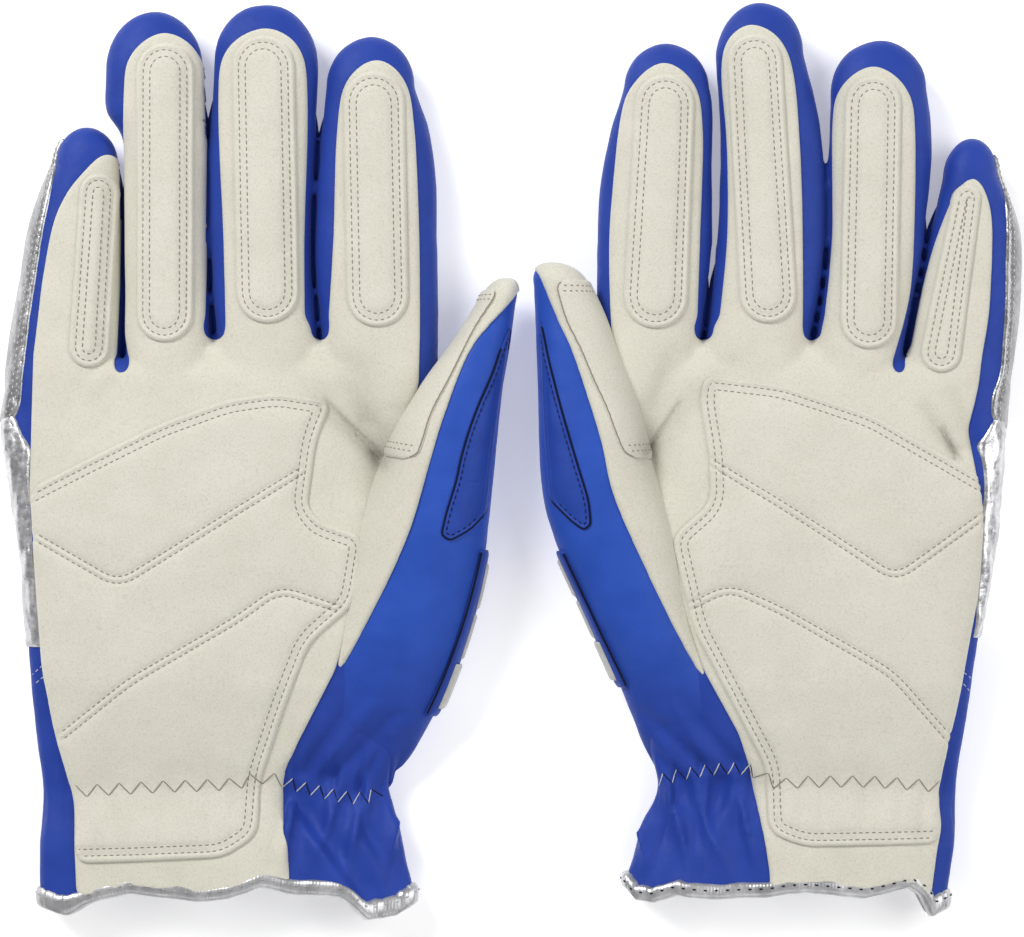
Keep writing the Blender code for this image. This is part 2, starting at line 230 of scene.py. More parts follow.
# ---- each glove's plan ------------------------------------------------------------------------
# Outlines are seen from above the palm. Edges run from the cuff or the crotch to the tip.
#   crotches     x, y and half width of each notch       closed_to     y up to which fingers touch
#   patches      top, bottom, width, taper               side_rows     short white rows on the blue
#   creases      (ends), depth, width of a soft fold     fold_lines    ends of a sharp fold
#   lips         (ends), height, width of a fold that stands up on its left
#   reinforcement_seam  the corners that lie in the side seam, and so carry no stitch row
#   silver_lift  side panel's lift and rise, then the guard's
#   silver_fold  y, x of the side panel's front edge     guard_edge    x, y of the guard's
#   wide_binding x beyond which the tape is wider        blue_from     x where the wrist turns blue
RIGHT = {
    "side": "right",
    "mirror": 1,
    "origin_x": -75.77,
    "edges": {
        "little": (((-58.3, 22.5), (-55.8, 43.0), (-52.0, 64.4), (-46.6, 79.2)),
                   ((-29.8, 22.5), (-29.7, 43.0), (-29.9, 64.4), (-30.3, 79.2))),
        "ring": (((-27.9, 31.0), (-28.0, 58.0), (-28.5, 84.0), (-33.4, 94.0), (-33.2, 104.6)),
                 ((-5.2, 31.0), (-6.8, 56.3), (-7.0, 84.0), (-7.3, 104.6))),
        "middle": (((-3.5, 32.0), (-5.1, 56.3), (-5.4, 83.2), (-4.4, 106.0)),
                   ((23.1, 32.0), (21.3, 56.3), (22.5, 83.2), (23.6, 106.0))),
        "index": (((24.9, 32.0), (23.1, 56.3), (24.3, 83.2), (26.0, 100.0)),
                  ((55.8, 32.0), (55.8, 56.3), (54.4, 83.2), (49.6, 100.0))),
    },
    "tips": {"little": 89.4, "ring": 120.4, "middle": 122.3, "index": 113.6},
    "fold_lines": (((26.0, 15.6), (41.2, 0.8)),),
    "crotches": ((-28.5, 23.1, 2.0), (-3.9, 32.1, 3.1), (24.3, 32.0, 2.7)),
    "hand_left": ((-50.5, -121), (-51.0, -100), (-51.6, -80), (-53.4, -61), (-55.8, -24),
                  (-58.8, 3), (-59.2, 12), (-58.0, 20), (-57.2, 27)),
    "hand_right": ((50.6, -121), (46.8, -102), (43.6, -87), (45.5, -73), (49, -50), (52, -20),
                   (54.8, 5), (56.0, 27)),
    "thumb_inner": ((12.5, -96), (15.5, -84), (22.0, -64.4), (29.0, -44.8), (33.3, -23.6),
                    (41.3, -1.1), (51.2, 17.4), (61.5, 32.0), (67.6, 41.9)),
    "thumb_outer": ((40.5, -96), (44.4, -87.0), (55.6, -67.0), (63.8, -44.8), (68.7, -23.6),
                    (71.1, -1.1), (73.2, 17.4), (75.2, 32.0), (76.6, 41.9)),
    "thumb_tip": (74.2, 48.6),
    "thumb_suede": ((13.7, -87.5), (19.6, -73.2), (32.5, -51.5), (41.9, -33.8), (48.6, -18.5),
                    (53.8, -1.1), (57.6, 11.5), (64.4, 28.7), (74.2, 41.0), (76.6, 44.4),
                    (78.6, 48.0)),
    "suede": {
        "little": ((-51.8, 28.0), (-50.4, 40.0), (-49.2, 49.5), (-46.6, 63.0), (-43.0, 71.2),
                   (-38.6, 76.8), (-34.2, 81.2), (-31.0, 81.2), (-29.8, 78.0), (-29.9, 53.4),
                   (-30.6, 27.1)),
        "ring": ((-27.6, 33.5), (-27.7, 60.0), (-27.9, 96.0), (-26.0, 108.0), (-17.5, 114.0),
                 (-9.0, 109.0), (-6.4, 96.0), (-6.6, 60.0), (-6.8, 38.5)),
        "middle": ((-0.6, 38.5), (-1.2, 60.0), (-2.6, 96.0), (-0.4, 109.5), (9.6, 115.2),
                   (18.6, 110.0), (20.7, 96.0), (19.8, 60.0), (20.0, 38.5)),
        "index": ((27.0, 38.5), (28.2, 60.0), (29.0, 86.0), (31.4, 100.5), (39.2, 106.7),
                  (46.6, 101.5), (49.4, 88.0), (50.7, 60.0), (50.9, 33.0)),
    },
    "palm_right": ((50.6, 20.0), (45.5, 4.0), (39.0, -16.0), (34.0, -36.0), (28.5, -56.0),
                   (19.2, -74.0), (15.0, -82.5), (13.9, -88.0), (15.0, -100.0), (16.1, -110.8)),
    "palm_left": ((-40.8, -115.5), (-41.3, -103.6), (-41.5, -91.0), (-44.0, -82.1),
                  (-46.3, -73.8), (-49.1, -59.0), (-50.4, -43.0), (-51.6, -26.0), (-52.9, -8.0),
                  (-52.4, 8.0)),
    "reinforcement": ((-52.6, -7.6), (-42.4, -2.4), (-18.0, 9.7), (-0.3, 16.1), (12.9, 18.0),
                      (27.6, 15.6), (23.6, 5.4), (21.2, -12.1), (24.4, -16.4), (36.5, -20.5),
                      (33.5, -38.5), (21.7, -48.8), (15.6, -64.4), (8.6, -85.0), (7.6, -100.4),
                      (-1.3, -106.2), (-40.8, -107.9), (-41.2, -91.0), (-46.1, -73.8),
                      (-49.6, -55.0), (-50.4, -43.0), (-51.6, -26.0)),
    "reinforcement_seam": (0, 16, 17, 18, 19, 20, 21),
    "channels": (((-51.0, -20.6), (-29.0, -33.2), (19.6, -3.0)),
                 ((-44.6, -73.8), (-26.0, -59.0), (2.7, -42.4), (13.7, -34.3), (29.0, -39.4))),
    "patches": {
        "little": ((-34.4, 76.4), (-37.4, 24.6), 10.4, 0.05),
        "ring": ((-16.9, 111.2), (-16.9, 31.4), 15.0, 0.0),
        "middle": ((9.1, 113.2), (10.6, 36.4), 16.6, 0.0),
        "index": ((38.6, 103.6), (40.0, 35.4), 16.4, 0.0),
    },
    "thumb_patch": ((44.2, -0.4), (48.2, -1.6), (50.9, 0.4), (52.9, 5.4), (55.3, 12.7), (60.3, 22.5),
                    (66.3, 34.6), (70.0, 40.8), (72.8, 45.6)),
    "thumb_panel": ((75.3, 36.8), (73.0, 31.0), (70.2, 22.5), (66.8, 15.1), (64.1, 7.8), (62.0, 0.5),
                    (60.8, -5.6), (58.1, -14.1), (56.8, -20.0), (59.3, -21.6), (64.8, -18.6),
                    (68.6, -14.6), (70.0, 0.0), (72.4, 18.0), (74.4, 30.0)),
    "zigzag": ((-41.0, -88.6), (-20.0, -87.4), (0.0, -86.6), (10.0, -85.0), (20.0, -88.0),
               (34.0, -90.8), (41.0, -88.6)),
    "blue_from": 12.5,
    "closed_to": (82.0, 101.0, 97.0),
    "wide_binding": (-42.0, 37.0),
    "binding_thread": "grey",
    "creases": ((((25.0, 14.6), (41.0, -0.5)), 2.6, 2.2), (((33.0, 26.0), (42.0, 1.0)), 1.6, 3.2),
                (((12.0, 27.0), (38.0, 8.0)), 1.0, 4.0), (((34.0, 16.0), (44.0, -3.0)), 4.0, 10.0),
                (((27.5, 29.0), (37.0, 11.0)), 1.0, 2.2), (((-36.0, 15.0), (-31.0, 21.0)), 0.7, 2.0),
                (((36.0, -62.0), (20.0, -84.0)), 1.9, 2.4), (((45.0, -68.0), (27.0, -86.0)), 1.8, 2.2),
                (((42.0, -76.0), (35.0, -89.0)), 1.5, 1.9), (((38.0, -115.0), (18.0, -90.0)), 2.0, 3.0),
                (((48.0, -113.0), (31.0, -92.0)), 1.3, 2.6), (((24.0, -112.0), (15.0, -92.0)), 0.9, 2.2)),
    "lips": ((((35.0, -117.0), (15.5, -90.5)), 2.6, 6.0), (((43.0, -116.0), (33.0, -91.0)), 1.3, 4.0),
             (((24.0, -84.0), (40.0, -66.0)), 1.0, 4.0)),
    "cuff": ((-51.0, -117.0), (-44.0, -119.3), (-36.0, -116.0), (-26.0, -113.8), (-8.0, -116.2),
             (2.0, -115.0), (9.5, -112.0), (17.0, -114.0), (29.5, -114.6), (36.5, -120.6),
             (45.0, -119.4), (51.0, -116.0)),
    "silver_span": (-50.0, 15.0),
    "silver_lift": (0.9, 1.4, 1.7, 0.9),
    "silver_looks": ("silver", "guard"),
    "silver_fold": ((-50.0, -49.4), (-46.4, -49.9), (-33.8, -51.3), (-18.5, -52.7), (-6.1, -53.1),
                    (2.3, -52.7), (7.0, -55.0), (12.0, -57.4), (15.0, -58.6)),
    "badge_span": (-21.2, -67.0),
    "side_rows": (((-53.3, -58.0), (-49.4, -54.6)), ((-53.2, -60.9), (-49.3, -57.8))),
    "guard_edge": ((-58.6, 9.8), (-56.8, 11.0), (-55.8, 14.0), (-55.0, 21.7), (-53.3, 35.6),
                   (-51.4, 49.5), (-49.2, 63.4), (-46.8, 77.3), (-46.0, 86.4)),
}

# The left glove's plan is mirrored: its x also runs towards the thumb.
LEFT = {
    "side": "left",
    "mirror": -1,
    "origin_x": 78.53,
    "edges": {
        "little": (((-54.2, 22.0), (-57.1, 42.9), (-56.9, 61.7), (-51.5, 76.5)),
                   ((-26.6, 22.0), (-30.6, 43.0), (-34.0, 61.7), (-37.4, 76.5))),
        "ring": (((-26.4, 31.0), (-28.9, 43.0), (-31.4, 56.3), (-34.2, 83.2), (-32.9, 99.0)),
                 ((-2.6, 31.0), (-6.7, 56.3), (-6.6, 83.2), (-6.9, 99.0))),
        "middle": (((-1.0, 31.0), (-5.0, 56.3), (-4.4, 88.5), (0.3, 108.7)),
                   ((26.5, 31.0), (23.5, 56.3), (22.6, 88.5), (24.0, 108.7))),
        "index": (((28.1, 32.0), (25.2, 59.3), (25.1, 76.0), (24.8, 92.6), (25.8, 100.0)),
                  ((55.8, 32.0), (55.8, 61.7), (53.4, 82.4), (48.6, 100.0))),
    },
    "tips": {"little": 86.4, "ring": 112.6, "middle": 122.9, "index": 111.8},
    "fold_lines": (((-36.4, 7.8), (-39.6, 1.2)), ((34.0, 15.0), (43.0, 2.0))),
    "crotches": ((-24.6, 23.1, 1.7), (-1.7, 31.9, 2.8), (27.3, 31.9, 2.8)),
    "hand_left": ((-38.2, -121), (-40.8, -98.2), (-41.8, -80), (-44.3, -64.4), (-46.7, -46.4),
                  (-50.2, -27.9), (-52.1, -9.1), (-52.6, 11.5), (-53.8, 27)),
    "hand_right": ((51.2, -121), (45.5, -102), (41.4, -87), (42.6, -73), (46.5, -50), (51, -20),
                   (54.5, 5), (55.6, 27)),
    "thumb_inner": ((9.5, -96), (10.5, -82), (21.0, -62.0), (30.0, -45.1), (35.4, -20.7),
                    (42.1, -0.3), (47.0, 17.7), (51.2, 28.4), (55.0, 38.4), (58.8, 46.7)),
    "thumb_outer": ((38.5, -96), (40.8, -84.0), (48.8, -62.8), (58.5, -41.0), (67.3, -21.2),
                    (70.6, -8.0), (71.9, 15.8), (72.2, 35.1), (72.7, 46.7)),
    "thumb_tip": (67.9, 52.8),
    "thumb_suede": ((13.1, -91.2), (18.0, -73.2), (30.6, -53.4), (40.2, -35.1), (51.2, -10.7),
                    (55.0, 4.8), (58.8, 17.4), (62.8, 29.2), (66.5, 37.6), (70.6, 48.0),
                    (72.4, 51.4), (74.2, 55.0)),
    "suede": {
        "little": ((-46.6, 28.0), (-48.6, 40.8), (-49.4, 61.7), (-47.8, 71.0), (-44.5, 75.2),
                   (-40.6, 72.0), (-36.6, 63.0), (-33.0, 51.0), (-28.8, 30.5)),
        "ring": ((-25.4, 35.5), (-28.0, 50.0), (-28.9, 86.0), (-26.6, 99.0), (-18.0, 105.0),
                 (-9.6, 99.5), (-7.6, 88.0), (-7.6, 60.0), (-5.4, 38.5)),
        "middle": ((1.2, 38.5), (1.2, 60.0), (1.9, 84.0), (3.6, 103.0), (7.4, 112.5), (14.6, 116.2),
                   (20.4, 112.5), (22.2, 104.0), (20.8, 84.0), (20.8, 60.0), (22.8, 38.5)),
        "index": ((29.4, 38.5), (28.6, 60.0), (27.9, 88.0), (30.2, 100.4), (38.0, 106.0),
                  (45.8, 100.6), (49.4, 90.7), (52.0, 66.0), (52.4, 50.0), (51.8, 33.0)),
    },
    "palm_right": ((51.5, 20.0), (46.0, 4.0), (39.5, -16.0), (34.0, -36.0), (27.5, -56.0),
                   (18.0, -73.2), (15.0, -82.1), (13.1, -91.2), (11.0, -102.0), (9.7, -110.4)),
    "palm_left": ((-33.3, -117.0), (-34.9, -104.9), (-36.2, -98.2), (-35.1, -88.8), (-37.6, -75.7),
                  (-40.2, -64.4), (-42.9, -48.8), (-45.6, -34.3), (-46.7, -15.6), (-45.3, -5.1),
                  (-42.9, 7.5), (-45.6, 19.9)),
    "reinforcement": ((-46.2, -4.4), (-17.4, 12.1), (6.7, 20.1), (27.4, 22.6), (28.6, 15.8),
                      (26.3, 1.6), (25.8, -11.4), (36.2, -20.4), (30.4, -45.1), (19.4, -66.0),
                      (10.7, -82.5), (10.2, -99.5), (0.8, -103.4), (-35.6, -102.6),
                      (-35.4, -88.8), (-37.9, -75.7), (-40.5, -64.4), (-43.2, -48.8),
                      (-45.9, -34.3), (-47.0, -15.6)),
    "reinforcement_seam": (0, 13, 14, 15, 16, 17, 18, 19),
    "channels": (((-46.6, -15.0), (-23.4, -31.6), (6.7, -12.1), (25.8, -0.6)),
                 ((-38.2, -74.6), (-22.5, -56.9), (6.7, -40.2), (21.0, -33.9), (32.0, -39.4))),
    "patches": {
        "little": ((-43.4, 73.4), (-34.8, 23.4), 10.4, 0.30),
        "ring": ((-17.9, 102.4), (-16.3, 29.6), 15.2, 0.02),
        "middle": ((14.2, 113.6), (10.0, 36.4), 15.2, 0.05),
        "index": ((37.4, 102.8), (40.8, 35.0), 17.0, 0.08),
    },
    "thumb_patch": ((43.5, 0.2), (47.0, -0.8), (49.8, 2.1), (52.0, 7.2), (54.4, 14.0), (57.3, 20.6),
                    (60.9, 29.5), (64.4, 37.3), (67.3, 48.0)),
    "thumb_panel": ((71.2, 39.0), (68.6, 26.0), (65.4, 13.4), (61.5, 0.0), (58.2, -10.7),
                    (57.6, -17.2), (59.6, -18.8), (63.0, -16.4), (68.4, -11.0), (69.8, 5.0),
                    (70.5, 20.0), (70.9, 32.0)),
    "zigzag": ((-35.8, -87.4), (-18.0, -86.0), (0.0, -86.0), (8.0, -86.4), (16.0, -82.8),
               (28.0, -83.4), (40.2, -86.2)),
    "blue_from": 13.4,
    "closed_to": (70.0, 68.0, 56.0),
    "wide_binding": (-33.0, 60.0),
    "binding_thread": "navy",
    "creases": ((((-31.0, 14.0), (-39.2, 2.5)), 1.8, 1.7), (((-39.0, 17.0), (-44.5, 4.0)), 1.3, 2.4),
                (((20.0, 26.0), (42.0, 2.0)), 1.4, 3.0), (((36.0, 28.0), (43.5, 4.0)), 1.6, 3.0),
                (((34.0, 16.0), (44.0, -2.0)), 3.2, 10.0), (((34.0, -64.0), (20.0, -81.0)), 1.8, 2.4),
                (((43.0, -68.0), (28.0, -82.0)), 1.8, 2.2), (((42.0, -77.0), (35.0, -85.0)), 1.4, 1.9),
                (((36.0, -113.0), (22.0, -87.0)), 1.5, 3.0), (((47.0, -112.0), (33.0, -88.0)), 1.3, 2.6),
                (((26.0, -112.0), (15.0, -86.0)), 0.9, 2.2)),
    "lips": ((((35.0, -89.0), (43.5, -112.0)), 2.0, 5.0), (((27.0, -112.0), (21.0, -88.0)), 1.4, 5.0),
             (((27.0, -82.0), (37.0, -64.0)), 1.0, 4.0)),
    "cuff": ((-38.6, -117.6), (-34.4, -119.4), (-30.6, -114.5), (-26.3, -112.2), (-15.0, -115.2),
             (4.0, -113.3), (9.7, -114.8), (26.6, -115.4), (36.2, -114.4), (42.0, -116.4),
             (47.0, -115.8), (51.5, -112.0)),
    "silver_span": (-47.5, 12.0),
    "silver_lift": (0.7, 0.2, 0.9, 0.25),
    # the left glove's guard takes the guard leather dimmed from 0.70 to 0.56: painted shade
    "silver_looks": ("silver_lit", "guard_dim"),
    "silver_fold": ((-48.0, -44.6), (-40.0, -45.4), (-8.0, -47.2), (4.0, -46.4), (12.0, -50.6)),
    "badge_span": (-23.0, -61.0),
    "side_rows": (((-41.8, -56.6), (-44.9, -58.9)), ((-41.8, -59.6), (-44.5, -62.6))),
    "guard_edge": ((-52.4, 9.0), (-49.8, 11.0), (-49.2, 14.0), (-49.8, 18.0), (-51.8, 24.1),
                   (-52.9, 40.8), (-53.4, 61.7), (-53.0, 76.0), (-51.8, 82.6)),
}


# ---- tubes: the bodies that fabric wraps ------------------------------------------------------
def ring_faces(rings, sides, first=0):
    """Quads between neighbouring rings of points; `first` is the first ring's first point."""
    faces = []
    for row in range(first, first + (rings - 1) * sides, sides):
        for k in range(sides):
            a, b = row + k, row + (k + 1) % sides
            faces.append((a, b, b + sides, a + sides))
    return faces


def capped_faces(rings, sides):
    """The faces of a closed tube."""
    return [*ring_faces(rings, sides), tuple(reversed(range(sides))),
            tuple(range((rings - 1) * sides, rings * sides))]


class Tube:
    """A run of flattened round sections. Angle 0 is the thumb side, 90 the palm side, 180 the other."""

    def __init__(self, centres, widths, half_heights, power):
        self.centres = np.asarray(centres, float)
        self.widths = np.asarray(widths, float)
        self.half_heights = np.asarray(half_heights, float)
        self.power = 2 / power
        self.count = len(self.centres)

    def point(self, station, degrees, lift=0.0):
        """Points on the surface, or `lift` above it; station runs from 0 to count - 1."""
        station, degrees = np.broadcast_arrays(np.asarray(station, float), np.asarray(degrees, float))
        index = np.arange(self.count)
        centre = [np.interp(station, index, self.centres[:, k]) for k in range(3)]
        width = [np.interp(station, index, self.widths[:, k]) for k in range(2)]
        height = np.interp(station, index, self.half_heights)
        cosine, sine = np.cos(np.radians(degrees)), np.sin(np.radians(degrees))
        out = np.sign(cosine) * np.abs(cosine) ** self.power
        up = np.sign(sine) * np.abs(sine) ** self.power
        reach = np.hypot(*width) + 1e-9
        stretch = 1 + lift / reach
        return np.stack(
            [centre[0] + width[0] * stretch * out, centre[1] + width[1] * stretch * out,
             centre[2] + (height + lift) * up], axis=-1)

    def station_at_y(self, y):
        return np.interp(y, self.centres[:, 1], np.arange(self.count))

    def mesh(self, sides=44):
        """Vertices and faces of the closed tube."""
        angles = np.arange(sides) * 360 / sides
        grid = self.point(np.arange(self.count)[:, None], angles[None])
        return grid.reshape(-1, 3), capped_faces(self.count, sides)


class Digit:
    """Where a finger or thumb lies and bends, from the frame's joints."""

    def __init__(self, glove, name):
        self.name = name
        joints = {j["name"]: j for j in frame["joints"]}
        first = joints[f"{glove.side}_{name}_base_hinge"]
        second = joints[f"{glove.side}_{name}_tip_hinge"]
        axis = np.array(first["axis"])
        forward = np.array([-axis[1], axis[0]]) * (-1 if name == "thumb" else 1)
        self.forward = forward * (glove.mirror, 1)
        self.across = np.array([self.forward[1], -self.forward[0]])
        self.hinge = glove.from_world(np.array(first["pos_m"]))[:2]
        self.middle = float(np.linalg.norm(np.subtract(second["pos_m"], first["pos_m"])) / MM)

    def uv(self, points):
        out = np.asarray(points)[..., :2] - self.hinge
        return out @ self.across, out @ self.forward

    def xy(self, u, v):
        u, v = np.asarray(u)[..., None], np.asarray(v)[..., None]
        return self.hinge + self.across * u + self.forward * v


class Glove:
    def __init__(self, plan):
        self.plan = plan
        self.side, self.mirror = plan["side"], plan["mirror"]
        self.digits = {name: Digit(self, name) for name in (*FINGERS, "thumb")}
        self.tubes = {name: self.finger_tube(name) for name in FINGERS}
        self.tubes["thumb"] = self.thumb_tube()
        self.hand = self.hand_tube()

    def from_world(self, point):
        x, y, z = np.asarray(point) / MM
        return np.array([(x - self.plan["origin_x"]) * self.mirror, y, z])

    def to_world(self, points):
        points = np.asarray(points, float)
        out = points * (self.mirror, 1, 1) + (self.plan["origin_x"], 0, 0)
        return out * MM

    def finger_tube(self, name):
        digit = self.digits[name]
        left, right = (smooth_line(edge, 0.5) for edge in self.plan["edges"][name])
        left_u, left_v = digit.uv(left)
        right_u, right_v = digit.uv(right)
        dome_from = min(left_v[-1], right_v[-1])
        middle_x = (left[-1][0] + right[-1][0]) / 2
        reach = digit.uv(np.array([middle_x, self.plan["tips"][name]]))[1]
        dome = reach - dome_from
        stations = np.r_[np.arange(-16, dome_from, 1.5),
                         dome_from + dome * np.sin(np.linspace(0, math.pi / 2, 12))]
        low = np.interp(stations, left_v, left_u)
        high = np.interp(stations, right_v, right_u)
        share = np.clip((stations - dome_from) / dome, 0, 0.998)
        shrink = np.sqrt(1 - share**2.15)
        height = np.interp(stations, (0, reach), FINGER_TOP) / 2
        flat = digit.xy((low + high) / 2, stations)
        centres = np.column_stack([flat, height + 0.2])
        widths = digit.across * ((high - low) / 2 * shrink)[:, None]
        return Tube(centres, widths, height * shrink**0.75, FINGER_POWER)

    def thumb_tube(self):
        inner = resampled(smooth_line(self.plan["thumb_inner"], 0.5), 1.5)
        outer = smooth_line(self.plan["thumb_outer"], 0.5)
        outer = resampled(outer, np.sum(np.linalg.norm(np.diff(outer, axis=0), axis=1)) / (len(inner) - 1))
        outer = outer[: len(inner)]
        inner = inner[: len(outer)]
        count = len(inner)
        run = np.linspace(0, 1, count)
        half_height = np.interp(run, THUMB_RUN, THUMB_HALF)
        middle_z = np.interp(run, THUMB_RUN, THUMB_MIDDLE)
        tip = np.array(self.plan["thumb_tip"])
        end = (inner[-1] + outer[-1]) / 2
        arc = np.linspace(0, math.pi / 2, 10)[1:]
        ends = end + (tip - end) * np.sin(arc)[:, None]
        shrink = np.maximum(np.cos(arc), 0.04)
        centres = np.column_stack([
            np.vstack([(inner + outer) / 2, ends]), np.r_[middle_z, np.full(len(arc), middle_z[-1])]])
        width = (outer[-1] - inner[-1]) / 2
        widths = np.vstack([(outer - inner) / 2, width * shrink[:, None]])
        heights = np.r_[half_height, half_height[-1] * shrink**0.8]
        return Tube(centres, widths, heights, THUMB_POWER)

    def hand_tube(self):
        left, right = (smooth_line(self.plan[key], 0.5) for key in ("hand_left", "hand_right"))
        top = min(left[-1][1], right[-1][1])
        stations = np.r_[np.arange(-121, top - 7, 1.6), top - 7 + 7 * np.sin(np.linspace(0, 1.5, 8))]
        low = np.interp(stations, left[:, 1], left[:, 0])
        high = np.interp(stations, right[:, 1], right[:, 0])
        height = np.interp(stations, HAND_AT, HAND_THICK) / 2
        shrink = np.sqrt(1 - np.clip((stations - top + 7) / 7, 0, 0.995) ** 2)
        centres = np.column_stack([(low + high) / 2, stations, height + 0.2])
        widths = np.column_stack([(high - low) / 2, np.zeros(len(stations))])
        return Tube(centres, widths, height * (0.45 + 0.55 * shrink), HAND_POWER)

    def web_tubes(self):
        """The folded fabric that joins neighbouring fingers at each crotch."""
        for (x, y, _), near in zip(self.plan["crotches"], FINGERS, strict=False):
            digit = self.digits[near]
            run = np.linspace(-16, 0, 9)
            flat = np.array([x, y]) + digit.forward * (run[:, None] - 0.3)
            shrink = np.sqrt(1 - np.clip((run + 4) / 4, 0, 0.99) ** 2)
            widths = digit.across * (6.5 * (0.5 + 0.5 * shrink))[:, None]
            yield Tube(np.column_stack([flat, np.full(9, 8.2)]), widths, 6.6 * shrink, WEB_POWER)

    def reach_across(self, name, v):
        """A digit's middle line and half width at each v, in its own u."""
        tube = self.tubes[name]
        digit = self.digits[name]
        middle_u, stations = digit.uv(tube.centres)
        order = np.argsort(stations)
        half = np.abs(tube.widths @ digit.across)
        return (np.interp(v, stations[order], middle_u[order]),
                np.maximum(np.interp(v, stations[order], half[order]), 6.0))

    def crease(self, points, ends, depth, width):
        """How far a fold line presses the surface down, deepest towards its end."""
        a, b = np.array(ends[0]), np.array(ends[1])
        run = b - a
        share = np.clip(((points[:, :2] - a) @ run) / (run @ run), 0, 1)
        gap = np.linalg.norm(points[:, :2] - (a + run * share[:, None]), axis=1)
        return depth * hill(gap, width) * (0.35 + 0.65 * share)

    def lip(self, points, ends, height, width):
        """A fold that stands up left of its line and drops sharply to the right of it."""
        a, b = np.array(ends[0]), np.array(ends[1])
        run = b - a
        offset = points[:, :2] - a
        share = (offset @ run) / (run @ run)
        gap = (run[0] * offset[:, 1] - run[1] * offset[:, 0]) / np.linalg.norm(run)
        ends_soft = ease(-0.15, 0.1, share) * ease(1.15, 0.85, share)
        return 0.5 * height * ends_soft * np.tanh(gap / 0.9) * np.exp(-np.abs(gap) / width)

    def painted_fold_shade(self, points):
        """Painted shade in the palm's folds and along its fold lines, 0 to 1: how far the suede's colour
        is darkened there.
        """
        dark = np.zeros(len(points))
        for ends, depth, width in self.plan["creases"]:
            dark += 0.6 * self.crease(points, ends, depth / width, width)
        for ends in self.plan["fold_lines"]:
            dark += self.crease(points, ends, 0.95, 0.8)
        return np.clip(dark, 0, 1)

    def relief(self, points, normals):
        """Folds, gathers and unevenness of the skin, as a push along the normals."""
        x, y, _ = points.T
        palm_side = ease(-0.2, 0.5, normals[:, 2])
        push = 0.35 * wrinkle(points, 16.0, 1) + 0.16 * wrinkle(points, 6.0, 2)
        for ends, depth, width in self.plan["creases"]:
            push -= palm_side * self.crease(points, ends, depth, width)
        # the elastic draws the wrist in, into pleats that are deeper in the blue fabric
        gather = hill(y - WRIST_Y, 7.5)
        blue = ease(self.plan["blue_from"] - 3, self.plan["blue_from"] + 3, x)
        pleat = 0.5 + 0.5 * np.sin(2 * math.pi * (x + 1.2 * np.sin(x * 0.7)) / 5.6)
        push -= gather * (0.35 + 0.5 * pleat) * (1 + 1.3 * blue)
        # below it the fabric flares in long waves, with sharper slanting folds in the blue
        skirt = ease(WRIST_Y - 4, CUFF_Y, y)
        push += 0.5 * skirt * np.sin(2 * math.pi * x / 27 + 0.8) * (1 + 0.8 * blue)
        slant = x - 0.30 * (y - WRIST_Y) + np.sin(x * 0.4)
        fold = 1 - 2 * np.abs(np.sin(math.pi * slant / 9.5)) ** 0.8
        push += blue * fold * (0.15 + 1.35 * palm_side) * hill(y - WRIST_Y + 8, 12.0)
        for ends, height, width in self.plan["lips"]:
            push += palm_side * self.lip(points, ends, height, width)
        # and small tucks in the suede
        tuck = 0.5 + 0.5 * np.sin(2 * math.pi * (x + 2.0 * np.sin(x * 0.23)) / 8.6)
        push -= (1 - blue) * palm_side * 0.75 * tuck**2 * hill(y - WRIST_Y + 7, 6.5)
        return push

    def cuff_line(self, x):
        """The height of the cuff's front edge across the glove."""
        return np.interp(x, *np.array(self.plan["cuff"]).T)


# ---- meshes -----------------------------------------------------------------------------------
def add_object(name, data):
    item = bpy.data.objects.new(name, data)
    bpy.context.scene.collection.objects.link(item)
    return item


def temporary(verts, faces):
    mesh = bpy.data.meshes.new("temporary")
    mesh.from_pydata([tuple(v) for v in verts], [], faces)
    return add_object("temporary", mesh)


def evaluated(item):
    """Vertices, normals and faces of an object with its modifiers applied; the object goes."""
    graph = bpy.context.evaluated_depsgraph_get()
    mesh = bpy.data.meshes.new_from_object(item.evaluated_get(graph))
    verts = np.empty(len(mesh.vertices) * 3)
    mesh.vertices.foreach_get("co", verts)
    normals = np.empty(len(mesh.vertices) * 3)
    mesh.vertices.foreach_get("normal", normals)
    faces = [tuple(p.vertices) for p in mesh.polygons]
    old = item.data
    bpy.data.objects.remove(item)
    bpy.data.meshes.remove(old)
    bpy.data.meshes.remove(mesh)
    return verts.reshape(-1, 3), normals.reshape(-1, 3), faces


def fused(tubes, relief):
    """One skin round all the tubes, with the relief pushed into it."""
    verts, faces = [], []
    for tube in tubes:
        start = len(verts)
        tube_verts, tube_faces = tube.mesh()
        verts.extend(tube_verts)
        faces.extend(tuple(k + start for k in face) for face in tube_faces)
    item = temporary(verts, faces)
    remesh = item.modifiers.new("remesh", "REMESH")
    remesh.mode = "VOXEL"
    remesh.voxel_size = VOXEL
    soften = item.modifiers.new("soften", "SMOOTH")
    soften.factor, soften.iterations = 0.5, 5
    verts, normals, faces = evaluated(item)
    return verts + normals * relief(verts, normals)[:, None], faces


def tree_of(verts, faces):
    return BVHTree.FromPolygons([tuple(v) for v in verts], faces)


def dropped(surface, points, lift):
    """Points of the plane laid on the surface from above, `lift` off it along its normal."""
    out = np.empty((len(points), 3))
    down = Vector((0, 0, -1))
    lifts = np.broadcast_to(lift, len(points))
    for k, (x, y) in enumerate(points):
        place, normal, _, _ = surface.ray_cast(Vector((x, y, 80.0)), down)
        if place is None:
            place, normal, _, _ = surface.find_nearest(Vector((x, y, 10.0)))
        elif normal.z < 0:
            normal = -normal
        out[k] = place + normal * lifts[k]
    return out


